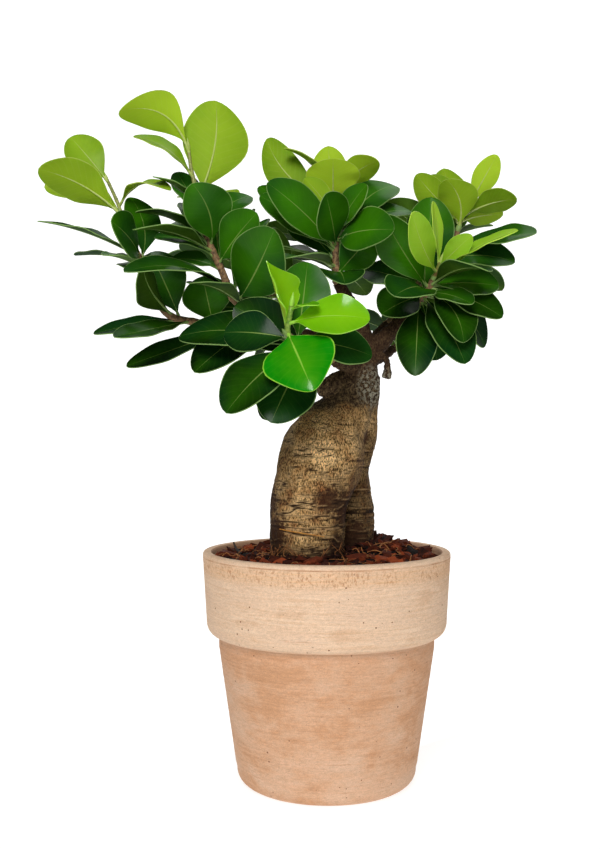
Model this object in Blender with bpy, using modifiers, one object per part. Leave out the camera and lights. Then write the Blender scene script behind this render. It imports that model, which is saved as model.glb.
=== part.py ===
"""Ginseng ficus in its terracotta pot.

Lengths are in millimetres until a mesh is written. +X is the viewer's right, +Y is away from the
viewer and +Z is up. The origin is on the pot's axis, at the flat face that the pot stands on.
"""

from dataclasses import dataclass, field
from itertools import product
from math import cos, pi, radians, sin
import random

import bmesh
import bpy
from mathutils import Vector
from mathutils.bvhtree import BVHTree

MM = 0.001
TOUCH_GAP = 0.3

# Pot
POT_HEIGHT = 114.3
POT_STEPS = 40
RIM_RADIUS = 61.6
RIM_LIP = 1.4
WALL = 4.4
WALL_DRAFT = 0.3
COLLAR_FOOT_Z = 79.3
COLLAR_FOOT_RADIUS = 59.6
COLLAR_ROUND = 6.0
BODY_TOP_RADIUS = 53.5
BODY_TOP_Z = 67.0
FOOT_RADIUS = 37.5
FOOT_ROUND = 7.0
BODY_FOOT_RADIUS = 44.7
FLOOR_Z = 8.0
FLOOR_ROUND = 5.0

# Soil
SOIL_TOP = 111.0
SOIL_EDGE_DROP = 1.0
SOIL_FOOT_RISE = 6.0
SOIL_FOOT_INSET = 0.4
ROOT_CLEARANCE = 0.55
MOUND_RADIUS = 32.0
MOUND_PLACE = (26.0, 16.0)
SOIL_RINGS = 3
SOIL_MOUND = 5.5
SOIL_LUMP = 1.3

# Trunk
BARK_VOXEL = 1.5
BARK_FACES = 1000
ROOT_SIDES = 16
TWIG_SIDES = 6
STRAIGHT_START = 1.5

# Leaves
BLADE_THICKNESS = 0.7
BLADE_CLEARANCE = 0.9
OWN_CLEARANCE = 0.5
PETIOLE_SHARE = 0.12
PETIOLE_HALF_WIDTH = 0.95
TIP_SHARE = 0.13
BLADE_ROWS = (0.0, 0.12, 0.36, 0.72, 1.0)
FOLD_SLOPE = 0.22
OUTLINE_LEAN = 1.2
OUTLINE_FULLNESS = 0.68
OUTLINE_SPREAD = 0.52

# A measured leaf may turn, and its tip may move along the line of sight, to lie clear.
TILTS = (0, 12, -12, 24)
DEPTH_SHIFTS = (0, -4, 4, -8, 8, -12, 12, -17, 17, -23, 23)

# Leaves by rule: they turn about the stem by the golden angle, and droop a little.
GOLDEN_ANGLE = 2.4
WHORL_START = 0.12
WHORL_DROOP = 0.12
WHORL_ARCH = 0.12
WIDTH_TO_LENGTH = 0.52
WHORL_SHRINKS = (1.0, 0.88, 0.78)
WHORL_TURNS = (0.0, 0.3, -0.3, 0.6, -0.6, 0.9, -0.9, 1.3, -1.3)
WHORL_RISES = (0.0, 0.3, -0.3, 0.55)

# The plant is measured as it looks from the front, from this far away and this high.
VIEW_DISTANCE = 539.0
VIEW_HEIGHT = 178.5
VIEW_ACROSS = -13.2

COLOURS = {
    "terracotta": (0.62, 0.36, 0.21, 1.0),
    "soil": (0.045, 0.024, 0.014, 1.0),
    "bark": (0.36, 0.26, 0.15, 1.0),
    "mature_leaf": (0.03, 0.12, 0.015, 1.0),
    "young_leaf": (0.28, 0.45, 0.04, 1.0),
}

ROUGHNESS = {"terracotta": 0.8, "soil": 0.95, "bark": 0.85, "mature_leaf": 0.35, "young_leaf": 0.4}


@dataclass
class Leaf:
    """One leaf: where it leaves its stem, where its tip shows, and how its blade lies.

    at is the share of the stem's length at which it grows. tip is (across, up, depth), as seen from
    the front. face is the elevation and the heading of the upper side's normal, in degrees: heading
    0 looks at the viewer, 90 to the viewer's right and 180 away. arch lifts the middle of the blade
    by that share of its length, and sway bends it sideways. fold is how steeply its halves rise,
    and blunt is how wide its outer end is, both against the usual leaf.
    """

    at: float
    tip: tuple
    width: float
    face: tuple
    arch: float = 0.08
    sway: float = 0.0
    fold: float = 1.0
    blunt: float = 1.0


@dataclass
class Stem:
    """One leafy stem: what it grows from, its route as seen from the front, and its leaves.

    whorl is how many leaves stand round it by rule, their length and the seed of their turns.
    """

    name: str
    grows_from: str
    route: tuple
    thickness: tuple
    colour: str
    leaves: list = field(default_factory=list)
    whorl: tuple = ()


BRANCHES = {
    # Main stem above the neck, then the branches that the leafy stems carry on from.
    "main": ((17.3, 0, 192, 9.0), (17.4, 0, 203, 8.4), (17.5, 0, 214, 7.0), (16.5, -1, 224, 5.4),
             (12.5, -2, 235, 4.1), (8.5, -4, 242, 3.3), (5.5, -5, 247, 2.6)),
    "right": ((18, 0, 208, 5.4), (24, -1, 215, 4.9), (32, -3, 223, 4.0), (40, -5, 231, 3.0),
              (44, -6, 236, 2.4)),
    "left": ((17, 1, 214, 4.4), (6, 2, 219, 3.8), (-8, 1, 221, 3.3), (-20, -1, 224, 2.6)),
    "far_left": ((-2, 2, 220, 3.0), (-14, 6, 217, 2.9), (-26, 9, 217, 2.6), (-36, 9, 219, 2.4)),
    "front": ((17, -2, 205, 3.8), (9, -14, 206, 3.3), (2, -25, 208, 2.8)),
    "back_left": ((16, 2, 217, 3.8), (10, 14, 224, 3.2), (0, 28, 232, 2.5)),
    "back_right": ((17, 2, 212, 3.8), (24, 14, 220, 3.1), (32, 26, 229, 2.4)),
    "back_middle": ((13, 0, 229, 3.4), (12, 13, 237, 2.9), (9, 25, 246, 2.4)),
    "tall_right": ((33, -3, 224, 3.0), (38, 5, 231, 2.6), (44, 11, 239, 2.3)),
    "back_low": ((14, 5, 208, 3.8), (2, 20, 212, 3.0), (-10, 34, 218, 2.4)),
    "low_right": ((18, 2, 207, 3.8), (27, 13, 211, 3.0), (35, 23, 216, 2.4)),
}

STUBS = (
    # What was left where stems were pruned, at the left shoulder and at the right of the neck.
    ((12, -2, 199, 6.4), (5, -5, 197.5, 5.4), (0, -8, 195, 4.4), (-4.5, -9, 193, 2.8)),
    ((19, -2, 206, 3.0), (26, -3, 210.5, 2.1), (29.6, -3, 209, 1.7), (30.4, -3, 204, 1.9),
     (29.6, -3, 200, 2.9)),
)

ROOTS = (
    # Swollen root at the front left, then the one behind it at the right, then the neck.
    ((-9.5, -8, 84, 13.5), (-9.6, -8, 98, 16.6), (-9.6, -8, 113, 18.0), (-9.2, -8, 128, 18.6),
     (-8.4, -7, 139, 18.8), (-4.6, -6, 154, 20.4), (-0.8, -5, 165, 20.8), (3.2, -4, 174, 17.8),
     (8.0, -3, 181, 13.8), (12, -2, 188, 11.6), (15.5, -1, 198, 10.0)),
    ((12.9, 15, 84, 9.2), (13.2, 15, 100, 11.0), (13.2, 15, 113, 11.5), (13.3, 15, 128, 11.3),
     (13.0, 14, 142, 10.8), (11.8, 13, 152, 10.6), (12.3, 11, 163, 11.9), (14.0, 8, 173, 12.2),
     (15.6, 4.5, 183, 10.6), (17.2, 1.5, 193, 9.3), (17.4, 0, 202, 8.6)),
)

# The masses of leaves that hide what grows behind them: across, up, half width, half height.
MASSES = (
    (-78, 262, 38, 30), (-50, 262, 34, 34), (-25, 232, 42, 36), (5, 262, 38, 30),
    (58, 250, 44, 36), (30, 262, 36, 24), (-20, 210, 30, 24), (52, 228, 26, 24),
    (24, 221, 18, 12), (10, 236, 12, 22),
)

STEMS = (
    Stem("left_stem", "far_left",
         ((-47, 223, 4), (-60, 227, -2), (-77.7, 231, -8), (-85, 240, -11),
          (-90.7, 254, -13), (-97, 268, -14), (-101.5, 279, -14)),
         (2.2, 1.3), "mature_leaf",
         [
             Leaf(0.81, (-144.5, 278.5, -24), 24, (66, 0), 0.05, 0.0, 1.0, 0.45),
             Leaf(0.80, (-125.5, 261.5, 8), 16, (75, -20), 0.02),
             Leaf(0.74, (-111.5, 261.5, -30), 20, (58, -10), 0.06),
             Leaf(0.80, (-107.7, 278.5, -38), 23, (20, 10), 0.06),
             Leaf(0.78, (-98, 290.5, -12), 18, (10, 25), 0.05, -0.12),
             Leaf(0.42, (-88, 263, -8), 24, (5, 5), 0.05),
             Leaf(0.40, (-116.5, 222.3, -12), 18, (76, 0), 0.02),
             Leaf(0.36, (-106, 220.5, -30), 17, (68, 0), 0.0),
             Leaf(0.16, (-100, 206, -4), 18, (62, -10), 0.0),
             Leaf(0.24, (-62, 251, -8), 25, (6, 0), 0.04),
         ],
         (4, 40, 31)),
    Stem("left_shoot", "left_stem",
         ((-104.5, 288, -12), (-109.5, 299, -8)),
         (1.1, 0.8), "young_leaf",
         [
             Leaf(0.95, (-128, 320.5, 0), 19, (15, 15), 0.04),
             Leaf(0.10, (-144, 304.7, -26), 23, (40, 180), 0.16),
             Leaf(0.06, (-141, 295.5, 8), 15, (38, 180), 0.12, 0.10, 1.0, 1.5),
             Leaf(0.30, (-78, 294, -20), 14, (70, 0), 0.21),
         ]),
    Stem("upper_left_stem", "left",
         ((-30, 229, -4), (-40, 235, -8), (-47, 240.5, -11), (-52, 253, -13),
          (-57.5, 265, -14), (-61, 274, -14), (-63.5, 286, -13)),
         (2.4, 1.5), "mature_leaf",
         [
             Leaf(0.96, (-86.7, 300.7, -22), 12, (72, 0), 0.10),
             Leaf(0.92, (-75, 303, 0), 14, (55, -20), 0.04),
             Leaf(0.74, (-67.2, 297.4, -36), 25, (8, 20), 0.05, -0.10),
             Leaf(0.86, (-38.2, 291, 2), 18, (60, 0), 0.10),
             Leaf(0.80, (-72, 287.5, 2), 16, (80, 0), 0.02),
             Leaf(0.62, (-34.7, 282.6, -30), 23, (20, -20), 0.06),
             Leaf(0.36, (-26, 274.5, -42), 31, (8, -5), 0.06, -0.05),
             Leaf(0.66, (-86, 270.5, -20), 19, (60, 0), 0.12),
             Leaf(0.78, (-83, 274.5, -2), 20, (48, 0), 0.12),
             Leaf(0.70, (-96, 274.3, -34), 19, (78, 0), 0.08),
             Leaf(0.36, (-101.2, 253.2, -46), 23, (60, 0), 0.13),
             Leaf(0.58, (-78, 259, -4), 18, (45, -20), 0.10),
             Leaf(0.30, (-68.5, 247.5, -42), 19, (70, 0), 0.08),
             Leaf(0.26, (-28, 249, -26), 21, (35, 20), 0.08),
             Leaf(0.12, (-66, 203, -36), 24, (30, -20), 0.06),
         ],
         (5, 40, 32)),
    Stem("upper_left_shoot", "upper_left_stem",
         ((-66, 297.5, -11), (-68, 307, -10), (-68.8, 314, -9)),
         (1.3, 0.8), "young_leaf",
         [
             Leaf(0.96, (-103.5, 333.6, -22), 22, (36, 180), 0.16, 0.20),
             Leaf(0.52, (-96.5, 321, -14), 19, (66, 0), 0.12),
             Leaf(0.12, (-55.5, 338.7, -2), 33, (4, 180), -0.04, 0.07),
         ]),
    Stem("centre_stem", "main",
         ((5.0, 254, -5.5), (4.6, 262, -6), (4.8, 275, -6)),
         (2.2, 1.5), "mature_leaf",
         [
             Leaf(0.60, (-29.7, 297.6, -30), 25, (25, 35), 0.06),
             Leaf(0.66, (-0.4, 292.3, -14), 22, (24, 0), 0.02),
             Leaf(0.84, (20.4, 296.8, -14), 20, (25, -55), 0.06),
             Leaf(0.76, (33.8, 274, -34), 25, (22, -10), 0.10),
             Leaf(0.66, (42.8, 283, 4), 24, (58, 0), 0.16),
             Leaf(0.80, (34.5, 296.0, 16), 22, (45, 0), 0.16),
             Leaf(0.56, (-33.3, 291.2, -12), 20, (40, 20), 0.05),
             Leaf(0.64, (-33.8, 295.8, 2), 18, (55, 0), 0.05),
             Leaf(0.40, (-19.2, 283.6, -10), 18, (20, 10), 0.04),
             Leaf(0.30, (-22.7, 259.5, -38), 22, (72, 0), 0.06),
             Leaf(0.14, (24.5, 272.5, -14), 20, (12, -10), 0.04),
             Leaf(0.12, (9.3, 247, -40), 22, (66, 0), 0.10),
         ],
         (4, 38, 33)),
    Stem("centre_shoot", "centre_stem",
         ((4.0, 283, -2), (2.6, 291, 2), (2.0, 296, 4)),
         (1.3, 0.8), "young_leaf",
         [
             Leaf(0.50, (-29.8, 319.6, 6), 19, (12, 180), -0.10, -0.12),
             Leaf(0.70, (-21.2, 315, -8), 13, (80, 0), 0.14),
             Leaf(0.55, (3.3, 309.8, -10), 27, (16, 180), 0.02),
             Leaf(0.92, (1.0, 316, 14), 17, (8, 180), 0.02),
             Leaf(0.80, (25.8, 308.8, -4), 15, (36, 180), 0.18),
             Leaf(0.25, (-11, 300, -10), 14, (22, 0), 0.04),
         ]),
    Stem("right_stem", "right",
         ((47.5, 240, -8), (50.8, 244, -10), (53.2, 249, -11)),
         (2.2, 1.6), "mature_leaf",
         [
             Leaf(0.70, (28.3, 281.6, -30), 23, (20, -40), 0.05),
             Leaf(0.40, (27.6, 232, -18), 26, (22, -25), 0.06),
             Leaf(0.60, (34, 241, -44), 25, (32, 0), 0.08),
             Leaf(0.55, (68.6, 217.8, -36), 21, (25, 20), 0.10, 0.08),
             Leaf(0.45, (79.3, 215.8, -8), 27, (28, 30), 0.10, 0.08),
             Leaf(0.15, (44.3, 201.2, -24), 20, (12, -5), 0.06),
             Leaf(0.25, (55.3, 209, -34), 22, (16, 5), 0.06),
             Leaf(0.35, (69.3, 207.2, -16), 24, (15, 15), 0.08),
             Leaf(0.20, (72, 209, 2), 16, (25, 50), 0.06),
             Leaf(0.80, (86.3, 246, -14), 27, (48, 15), 0.05),
             Leaf(0.72, (88, 230.4, -28), 22, (58, 5), 0.07),
             Leaf(0.50, (72.8, 237, -36), 16, (68, 0), 0.06),
             Leaf(0.48, (17.6, 254, 4), 22, (55, 0), 0.10),
         ],
         (2, 38, 41)),
    Stem("right_shoot", "right_stem",
         ((55.0, 253, -13), (57.0, 258, -15)),
         (1.4, 1.0), "young_leaf",
         [
             Leaf(0.45, (42.8, 282.8, -32), 15.5, (12, 15), 0.02, 0.05),
             Leaf(0.80, (53.3, 288.5, -18), 10, (5, 50), 0.02),
             Leaf(0.75, (72.8, 271.5, -28), 11, (28, 10), 0.04),
             Leaf(0.40, (95.8, 274, -36), 15, (48, 0), 0.04),
         ]),
    Stem("tall_right_stem", "tall_right",
         ((50, 248, 14), (58, 259, 17), (63.5, 268, 17), (65.5, 273.5, 16)),
         (2.0, 1.5), "mature_leaf",
         [
             Leaf(0.84, (105, 272.6, -8), 26, (40, 10), 0.0),
             Leaf(0.60, (94.3, 258, 2), 24, (42, 20), 0.10),
             Leaf(0.30, (52.3, 290.6, -2), 25, (12, 0), 0.04, 0.0, 1.6),
             Leaf(0.70, (30, 288, 26), 22, (40, -160), 0.08),
             Leaf(0.45, (88, 244, 34), 23, (45, 140), 0.10),
             Leaf(0.90, (58, 294, 44), 22, (20, 170), 0.08),
         ]),
    Stem("tall_right_shoot", "tall_right_stem",
         ((67.5, 279, 15), (71.2, 286.5, 15)),
         (1.3, 0.8), "young_leaf",
         [
             Leaf(0.30, (44.8, 301.8, 10), 16, (8, 180), 0.06),
             Leaf(0.20, (51.5, 301.4, 22), 19, (8, 180), 0.06),
             Leaf(0.45, (58.6, 304.8, 28), 21, (5, 180), 0.06),
             Leaf(0.10, (60.2, 299.4, 8), 20, (12, 170), 0.04, 0.14),
             Leaf(0.96, (85.3, 311.7, 10), 13, (10, 150), 0.02),
             Leaf(0.60, (95.3, 289.6, 8), 17, (40, 180), 0.10),
             Leaf(0.35, (88.3, 281.8, 20), 15, (35, 180), 0.08),
         ]),
    Stem("front_stem", "front",
         ((-6, 212, -34), (-13, 215.5, -42), (-18.5, 221, -49)),
         (2.3, 1.6), "mature_leaf",
         [
             Leaf(0.92, (-51, 222.8, -62), 22, (24, -15), 0.08),
             Leaf(0.70, (-50.2, 182.6, -64), 29, (20, -25), 0.08),
             Leaf(0.55, (-27.7, 177.8, -56), 29, (14, 0), 0.06),
             Leaf(0.35, (-32.2, 179.8, -36), 20, (10, -10), 0.06),
             Leaf(0.50, (-73.6, 220.8, -40), 25, (45, -10), 0.12),
             Leaf(0.80, (-9.5, 258, -34), 25, (10, 10), 0.04),
             Leaf(0.85, (22.8, 211, -46), 23, (38, 10), 0.08),
             Leaf(0.30, (-46, 236, -18), 24, (20, -10), 0.06),
         ]),
    Stem("front_shoot", "front_stem",
         ((-19.4, 226, -52), (-18.2, 232, -53), (-17.6, 236, -53)),
         (1.6, 1.1), "young_leaf",
         [
             Leaf(0.25, (-30.0, 258.7, -60), 46, (8, 62), 0.02, -0.02, 2.1, 0.05),
             Leaf(0.92, (-4.2, 236.5, -66), 9, (45, 0), 0.04),
             Leaf(0.45, (21.8, 229.6, -66), 22, (30, 0), 0.10),
             Leaf(0.15, (-6.7, 193.6, -74), 38, (24, -5), 0.08, 0.0, 1.0, 0.6),
         ]),
    Stem("back_left_stem", "back_left",
         ((-16, 238, 38), (-32, 245, 46), (-44, 256, 50), (-50, 268, 52)),
         (2.3, 1.4), "mature_leaf", whorl=(11, 46, 11)),
    Stem("back_left_shoot", "back_left_stem",
         ((-52, 275, 52), (-53, 281, 51)),
         (1.3, 0.9), "young_leaf", whorl=(4, 30, 12)),
    Stem("back_middle_stem", "back_middle",
         ((5, 252, 36), (1, 263, 43), (-2, 274, 46)),
         (2.2, 1.5), "mature_leaf", whorl=(10, 44, 13)),
    Stem("back_right_stem", "back_right",
         ((36, 233, 36), (44, 243, 44), (48, 255, 48), (49, 264, 49)),
         (2.2, 1.4), "mature_leaf", whorl=(11, 46, 14)),
    Stem("back_right_shoot", "back_right_stem",
         ((49.5, 270, 49), (49.6, 276, 48)),
         (1.3, 0.9), "young_leaf", whorl=(4, 30, 15)),
    Stem("back_low_stem", "back_low",
         ((-22, 221, 42), (-33, 226, 47), (-40, 231, 49)),
         (2.2, 1.5), "mature_leaf", whorl=(8, 42, 16)),
    Stem("low_right_stem", "low_right",
         ((40, 219, 29), (45, 223, 33), (48, 228, 35)),
         (2.2, 1.5), "mature_leaf", whorl=(6, 40, 18)),
)


def seen_at(across, up, depth):
    """Return the point at this depth that shows at (across, up) from the front."""
    reach = 1.0 + depth / VIEW_DISTANCE
    return Vector((VIEW_ACROSS + (across - VIEW_ACROSS) * reach, depth,
                   VIEW_HEIGHT + (up - VIEW_HEIGHT) * reach))


def shown_at(point):
    """Return (across, up), where this point shows from the front."""
    reach = 1.0 + point.y / VIEW_DISTANCE
    return (VIEW_ACROSS + (point.x - VIEW_ACROSS) / reach,
            VIEW_HEIGHT + (point.z - VIEW_HEIGHT) / reach)


def smooth_route(points, steps=3):
    """Return a Catmull-Rom curve through the points, of any number of coordinates."""
    curve = []
    last = len(points) - 1
    for index in range(last):
        before = points[max(index - 1, 0)]
        start, end = points[index], points[index + 1]
        after = points[min(index + 2, last)]
        for step in range(steps):
            t = step / steps
            curve.append(tuple(
                0.5 * (2 * b + (c - a) * t + (2 * a - 5 * b + 4 * c - d) * t * t
                       + (3 * b - a - 3 * c + d) * t ** 3)
                for a, b, c, d in zip(before, start, end, after)))
    curve.append(tuple(points[last]))
    return curve


def clear_scene():
    """Remove what the scene holds."""
    for item in list(bpy.data.objects):
        bpy.data.objects.remove(item, do_unlink=True)


def make_collection(name):
    """Return a new collection in the scene."""
    collection = bpy.data.collections.new(name)
    bpy.context.scene.collection.children.link(collection)
    return collection


def make_material(name):
    """Return a plain material in the named colour."""
    material = bpy.data.materials.new(name)
    material.use_nodes = True
    shader = material.node_tree.nodes["Principled BSDF"]
    shader.inputs["Base Color"].default_value = COLOURS[name]
    shader.inputs["Roughness"].default_value = ROUGHNESS[name]
    shader.inputs["Metallic"].default_value = 0.0
    return material


def add_object(name, mesh, collection):
    """Return a new object that shows the mesh."""
    item = bpy.data.objects.new(name, mesh)
    collection.objects.link(item)
    return item


def settle(item):
    """Replace an object's mesh by its evaluated one, with no modifiers left."""
    bpy.context.view_layer.update()
    graph = bpy.context.evaluated_depsgraph_get()
    mesh = bpy.data.meshes.new_from_object(item.evaluated_get(graph))
    if item.type == "MESH":
        item.modifiers.clear()
        item.data = mesh
        return item
    welded = bmesh.new()
    welded.from_mesh(mesh)
    bmesh.ops.remove_doubles(welded, verts=welded.verts, dist=0.01 * MM)
    bmesh.ops.recalc_face_normals(welded, faces=welded.faces)
    welded.to_mesh(mesh)
    welded.free()
    solid = add_object(item.name + "_solid", mesh, item.users_collection[0])
    solid.matrix_world = item.matrix_world
    bpy.data.objects.remove(item, do_unlink=True)
    return solid


def normals_of(item):
    """Return a copy of the mesh's vertex normals, as they are before a vertex moves."""
    return [normal.vector.copy() for normal in item.data.vertex_normals]


def tube(name, points, sides, collection):
    """Return a round solid along (x, y, z, radius) points."""
    curve = bpy.data.curves.new(name, "CURVE")
    curve.dimensions = "3D"
    curve.bevel_depth = MM
    curve.bevel_resolution = sides // 2 - 2
    curve.use_fill_caps = True
    spline = curve.splines.new("POLY")
    spline.points.add(len(points) - 1)
    for target, (x, y, z, radius) in zip(spline.points, points):
        target.co = (x * MM, y * MM, z * MM, 1.0)
        target.radius = radius
    return settle(add_object(name, curve, collection))


def fuse(base, others, solver="EXACT"):
    """Join the other solids into the base with one Boolean union, and remove them."""
    group = make_collection(base.name + "_joined")
    for item in others:
        for holder in item.users_collection:
            holder.objects.unlink(item)
        group.objects.link(item)
    union = base.modifiers.new("union", "BOOLEAN")
    union.operation = "UNION"
    union.operand_type = "COLLECTION"
    union.collection = group
    union.solver = solver
    settle(base)
    for item in others:
        bpy.data.objects.remove(item, do_unlink=True)
    bpy.data.collections.remove(group)
    return base


def paint(item, material):
    """Give an object one material."""
    item.data.materials.clear()
    item.data.materials.append(material)


def turned(name, profile, steps, collection):
    """Return a solid turned about the Z axis from (radius, height) points."""
    mesh = bpy.data.meshes.new(name)
    edges = [(index, index + 1) for index in range(len(profile) - 1)]
    mesh.from_pydata([(radius * MM, 0.0, height * MM) for radius, height in profile], edges, [])
    item = add_object(name, mesh, collection)
    screw = item.modifiers.new("turn", "SCREW")
    screw.steps = steps
    screw.render_steps = steps
    screw.use_merge_vertices = True
    screw.merge_threshold = 0.00005
    return settle(item)


def arc(centre, radius, start, end, count):
    """Return points on an arc, angles in degrees from the outward direction."""
    across, up = centre
    angles = [radians(start + (end - start) * step / count) for step in range(count + 1)]
    return [(across + radius * cos(angle), up + radius * sin(angle)) for angle in angles]


def wall_inside(height):
    """Return the radius of the pot's inner wall at a height."""
    slope = (RIM_RADIUS - BODY_FOOT_RADIUS) / (POT_HEIGHT - FOOT_ROUND)
    return RIM_RADIUS - WALL_DRAFT - WALL - slope * (POT_HEIGHT - height)


def make_pot(collection):
    """Make the pot: collar, tapered body and rounded foot, thrown in one piece."""
    round_centre = (COLLAR_FOOT_RADIUS - COLLAR_ROUND, COLLAR_FOOT_Z)
    profile = [(0.0, FLOOR_Z), (wall_inside(FLOOR_Z) - FLOOR_ROUND, FLOOR_Z),
               (wall_inside(FLOOR_Z + FLOOR_ROUND), FLOOR_Z + FLOOR_ROUND),
               (wall_inside(POT_HEIGHT - RIM_LIP), POT_HEIGHT - RIM_LIP)]
    profile += arc((wall_inside(POT_HEIGHT) + RIM_LIP, POT_HEIGHT - RIM_LIP), RIM_LIP, 135, 90, 1)
    profile += arc((RIM_RADIUS - RIM_LIP, POT_HEIGHT - RIM_LIP), RIM_LIP, 80, 0, 2)
    profile += arc(round_centre, COLLAR_ROUND, 0, -90, 3)
    profile += [(BODY_TOP_RADIUS + 0.1, COLLAR_FOOT_Z - COLLAR_ROUND - 0.6),
                (BODY_TOP_RADIUS, BODY_TOP_Z), (BODY_FOOT_RADIUS + 0.6, FOOT_ROUND + 4.0)]
    profile += arc((FOOT_RADIUS, FOOT_ROUND), FOOT_ROUND, 5, -90, 3)
    profile.append((0.0, 0.0))
    return turned("pot", profile, POT_STEPS, collection)


def soil_height(x, y):
    """Return the soil's surface at a place: a low mound with lumps."""
    away = (x - MOUND_PLACE[0]) ** 2 + (y - MOUND_PLACE[1]) ** 2
    mound = SOIL_MOUND * max(0.0, 1.0 - away / MOUND_RADIUS ** 2)
    lumps = SOIL_LUMP * (sin(x * 0.31 + 1.0) * cos(y * 0.27) + 0.6 * sin(x * 0.7 - y * 0.55))
    return mound + lumps


def make_soil(collection, trunk):
    """Make the soil: it fills the pot, with a lumpy top and holes that the roots stand in."""
    edge = wall_inside(SOIL_TOP) - TOUCH_GAP
    top = [(edge * ring / SOIL_RINGS, SOIL_TOP) for ring in range(SOIL_RINGS)]
    foot_z = FLOOR_Z + SOIL_FOOT_RISE
    profile = top + [(edge, SOIL_TOP - SOIL_EDGE_DROP),
                     (wall_inside(foot_z) - TOUCH_GAP - SOIL_FOOT_INSET, foot_z),
                     (wall_inside(FLOOR_Z) - SOIL_FOOT_RISE, FLOOR_Z + TOUCH_GAP),
                     (0.0, FLOOR_Z + TOUCH_GAP)]
    soil = turned("soil", profile, POT_STEPS, collection)
    for vertex in soil.data.vertices:
        x, y, z = vertex.co / MM
        if z > SOIL_TOP - 0.5 * SOIL_EDGE_DROP:
            fade = 1.0 - (x * x + y * y) / (edge * edge)
            vertex.co.z += soil_height(x, y) * min(1.0, fade * 2.5) * MM
    hole = trunk.copy()
    hole.data = trunk.data.copy()
    cutters = make_collection("cutters")
    cutters.objects.link(hole)
    hole.name = "root_holes"
    hole.hide_render = True
    hole.display_type = "WIRE"
    for vertex, normal in zip(hole.data.vertices, normals_of(hole)):
        vertex.co += normal * ROOT_CLEARANCE * MM
    cut = soil.modifiers.new("root_holes", "BOOLEAN")
    cut.operation = "DIFFERENCE"
    cut.object = hole
    cut.solver = "EXACT"
    settle(soil)
    bpy.data.objects.remove(hole, do_unlink=True)
    return soil


def swell(item):
    """Give the bark its low folds and lumps, by a formula, along the surface's normals."""
    for vertex, normal in zip(item.data.vertices, normals_of(item)):
        x, y, z = vertex.co / MM
        folds = 0.5 * sin(x * 0.42 + z * 0.05) * sin(y * 0.38 - z * 0.06)
        lumps = 0.45 * sin(z * 0.21 + x * 0.12) * cos(y * 0.16)
        vertex.co += normal * (folds + lumps) * MM


def make_trunk(collection):
    """Make the trunk: swollen roots and neck drawn into one skin, with its branches."""
    roots = [tube("root", smooth_route(points, 4), ROOT_SIDES, collection) for points in ROOTS]
    trunk = fuse(roots[0], roots[1:])
    trunk.name = "trunk"
    skin = trunk.modifiers.new("skin", "REMESH")
    skin.mode = "VOXEL"
    skin.voxel_size = BARK_VOXEL * MM
    calm = trunk.modifiers.new("calm", "SMOOTH")
    calm.factor = 0.5
    calm.iterations = 8
    settle(trunk)
    swell(trunk)
    thin = trunk.modifiers.new("thin", "DECIMATE")
    thin.ratio = BARK_FACES / (2.0 * len(trunk.data.polygons))
    settle(trunk)
    branches = [tube("branch", points, TWIG_SIDES, collection)
                for points in (*BRANCHES.values(), *STUBS)]
    return fuse(trunk, branches)


def end_of(route):
    """Return the last point of a route and the direction in which it ends."""
    last, before = Vector(route[-1][:3]), Vector(route[-2][:3])
    return last, (last - before).normalized()


def stem_route(stem, ends):
    """Return the stem's centre line as (x, y, z, radius) points, on from what it grows from."""
    foot, along = ends[stem.grows_from]
    points = [tuple(foot + along * TOUCH_GAP), tuple(foot + along * STRAIGHT_START)]
    points += [tuple(seen_at(*place)) for place in stem.route]
    start, end = stem.thickness
    last = len(points) - 1
    sized = [point + (start + (end - start) * index / last,) for index, point in enumerate(points)]
    return sized


def place_on(route, share):
    """Return the point and the direction at a share of a route's length."""
    points = [Vector(point[:3]) for point in route]
    lengths = [(b - a).length for a, b in zip(points, points[1:])]
    left = share * sum(lengths)
    for start, end, length in zip(points, points[1:], lengths):
        if left <= length:
            return start.lerp(end, left / length), (end - start).normalized()
        left -= length
    return points[-1], (points[-1] - points[-2]).normalized()


def facing(elevation, heading):
    """Return the direction that a blade's upper side looks in."""
    up, turn = radians(elevation), radians(heading)
    return Vector((cos(up) * sin(turn), -cos(up) * cos(turn), sin(up)))


def half_width(share, leaf):
    """Return half the leaf's width at a share of its length: petiole, blade and blunt tip."""
    if share <= PETIOLE_SHARE:
        return PETIOLE_HALF_WIDTH
    along = (share - PETIOLE_SHARE) / (1.0 - PETIOLE_SHARE)
    width = leaf.width * (1.0 - (1.0 - leaf.blunt) * along * along)
    round_part = max(0.0, sin(pi * along ** OUTLINE_LEAN)) ** OUTLINE_FULLNESS
    blade = OUTLINE_SPREAD * width * round_part
    return max(blade, PETIOLE_HALF_WIDTH if along < 0.5 else TIP_SHARE * width)


def leaf_points(leaf, base, tip, tilt=0.0):
    """Return the leaf's middle surface as rows of (left edge, midrib, right edge)."""
    along = (tip - base).normalized()
    length = (tip - base).length
    elevation, heading = leaf.face
    up = facing(elevation + tilt, heading)
    up = (up - along * up.dot(along)).normalized()
    side = up.cross(along)
    rows = []
    for share in BLADE_ROWS:
        half = half_width(share, leaf)
        bow = 4.0 * share * (1.0 - share)
        middle = (base + along * (length * share) + up * (leaf.arch * length * bow)
                  + side * (leaf.sway * length * bow))
        edge_rise = FOLD_SLOPE * leaf.fold * half * (1.0 - 0.5 * share)
        rows.append((middle - side * half + up * edge_rise, middle,
                     middle + side * half + up * edge_rise))
    return rows


def blade_faces(row_count):
    """Return the triangles of a blade's grid of points."""
    faces = []
    for row in range(row_count - 1):
        for column in range(2):
            a = row * 3 + column
            b, c, d = a + 1, a + 4, a + 3
            faces += [(a, b, c), (a, c, d)] if column == 0 else [(a, b, d), (b, c, d)]
    return faces


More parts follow.
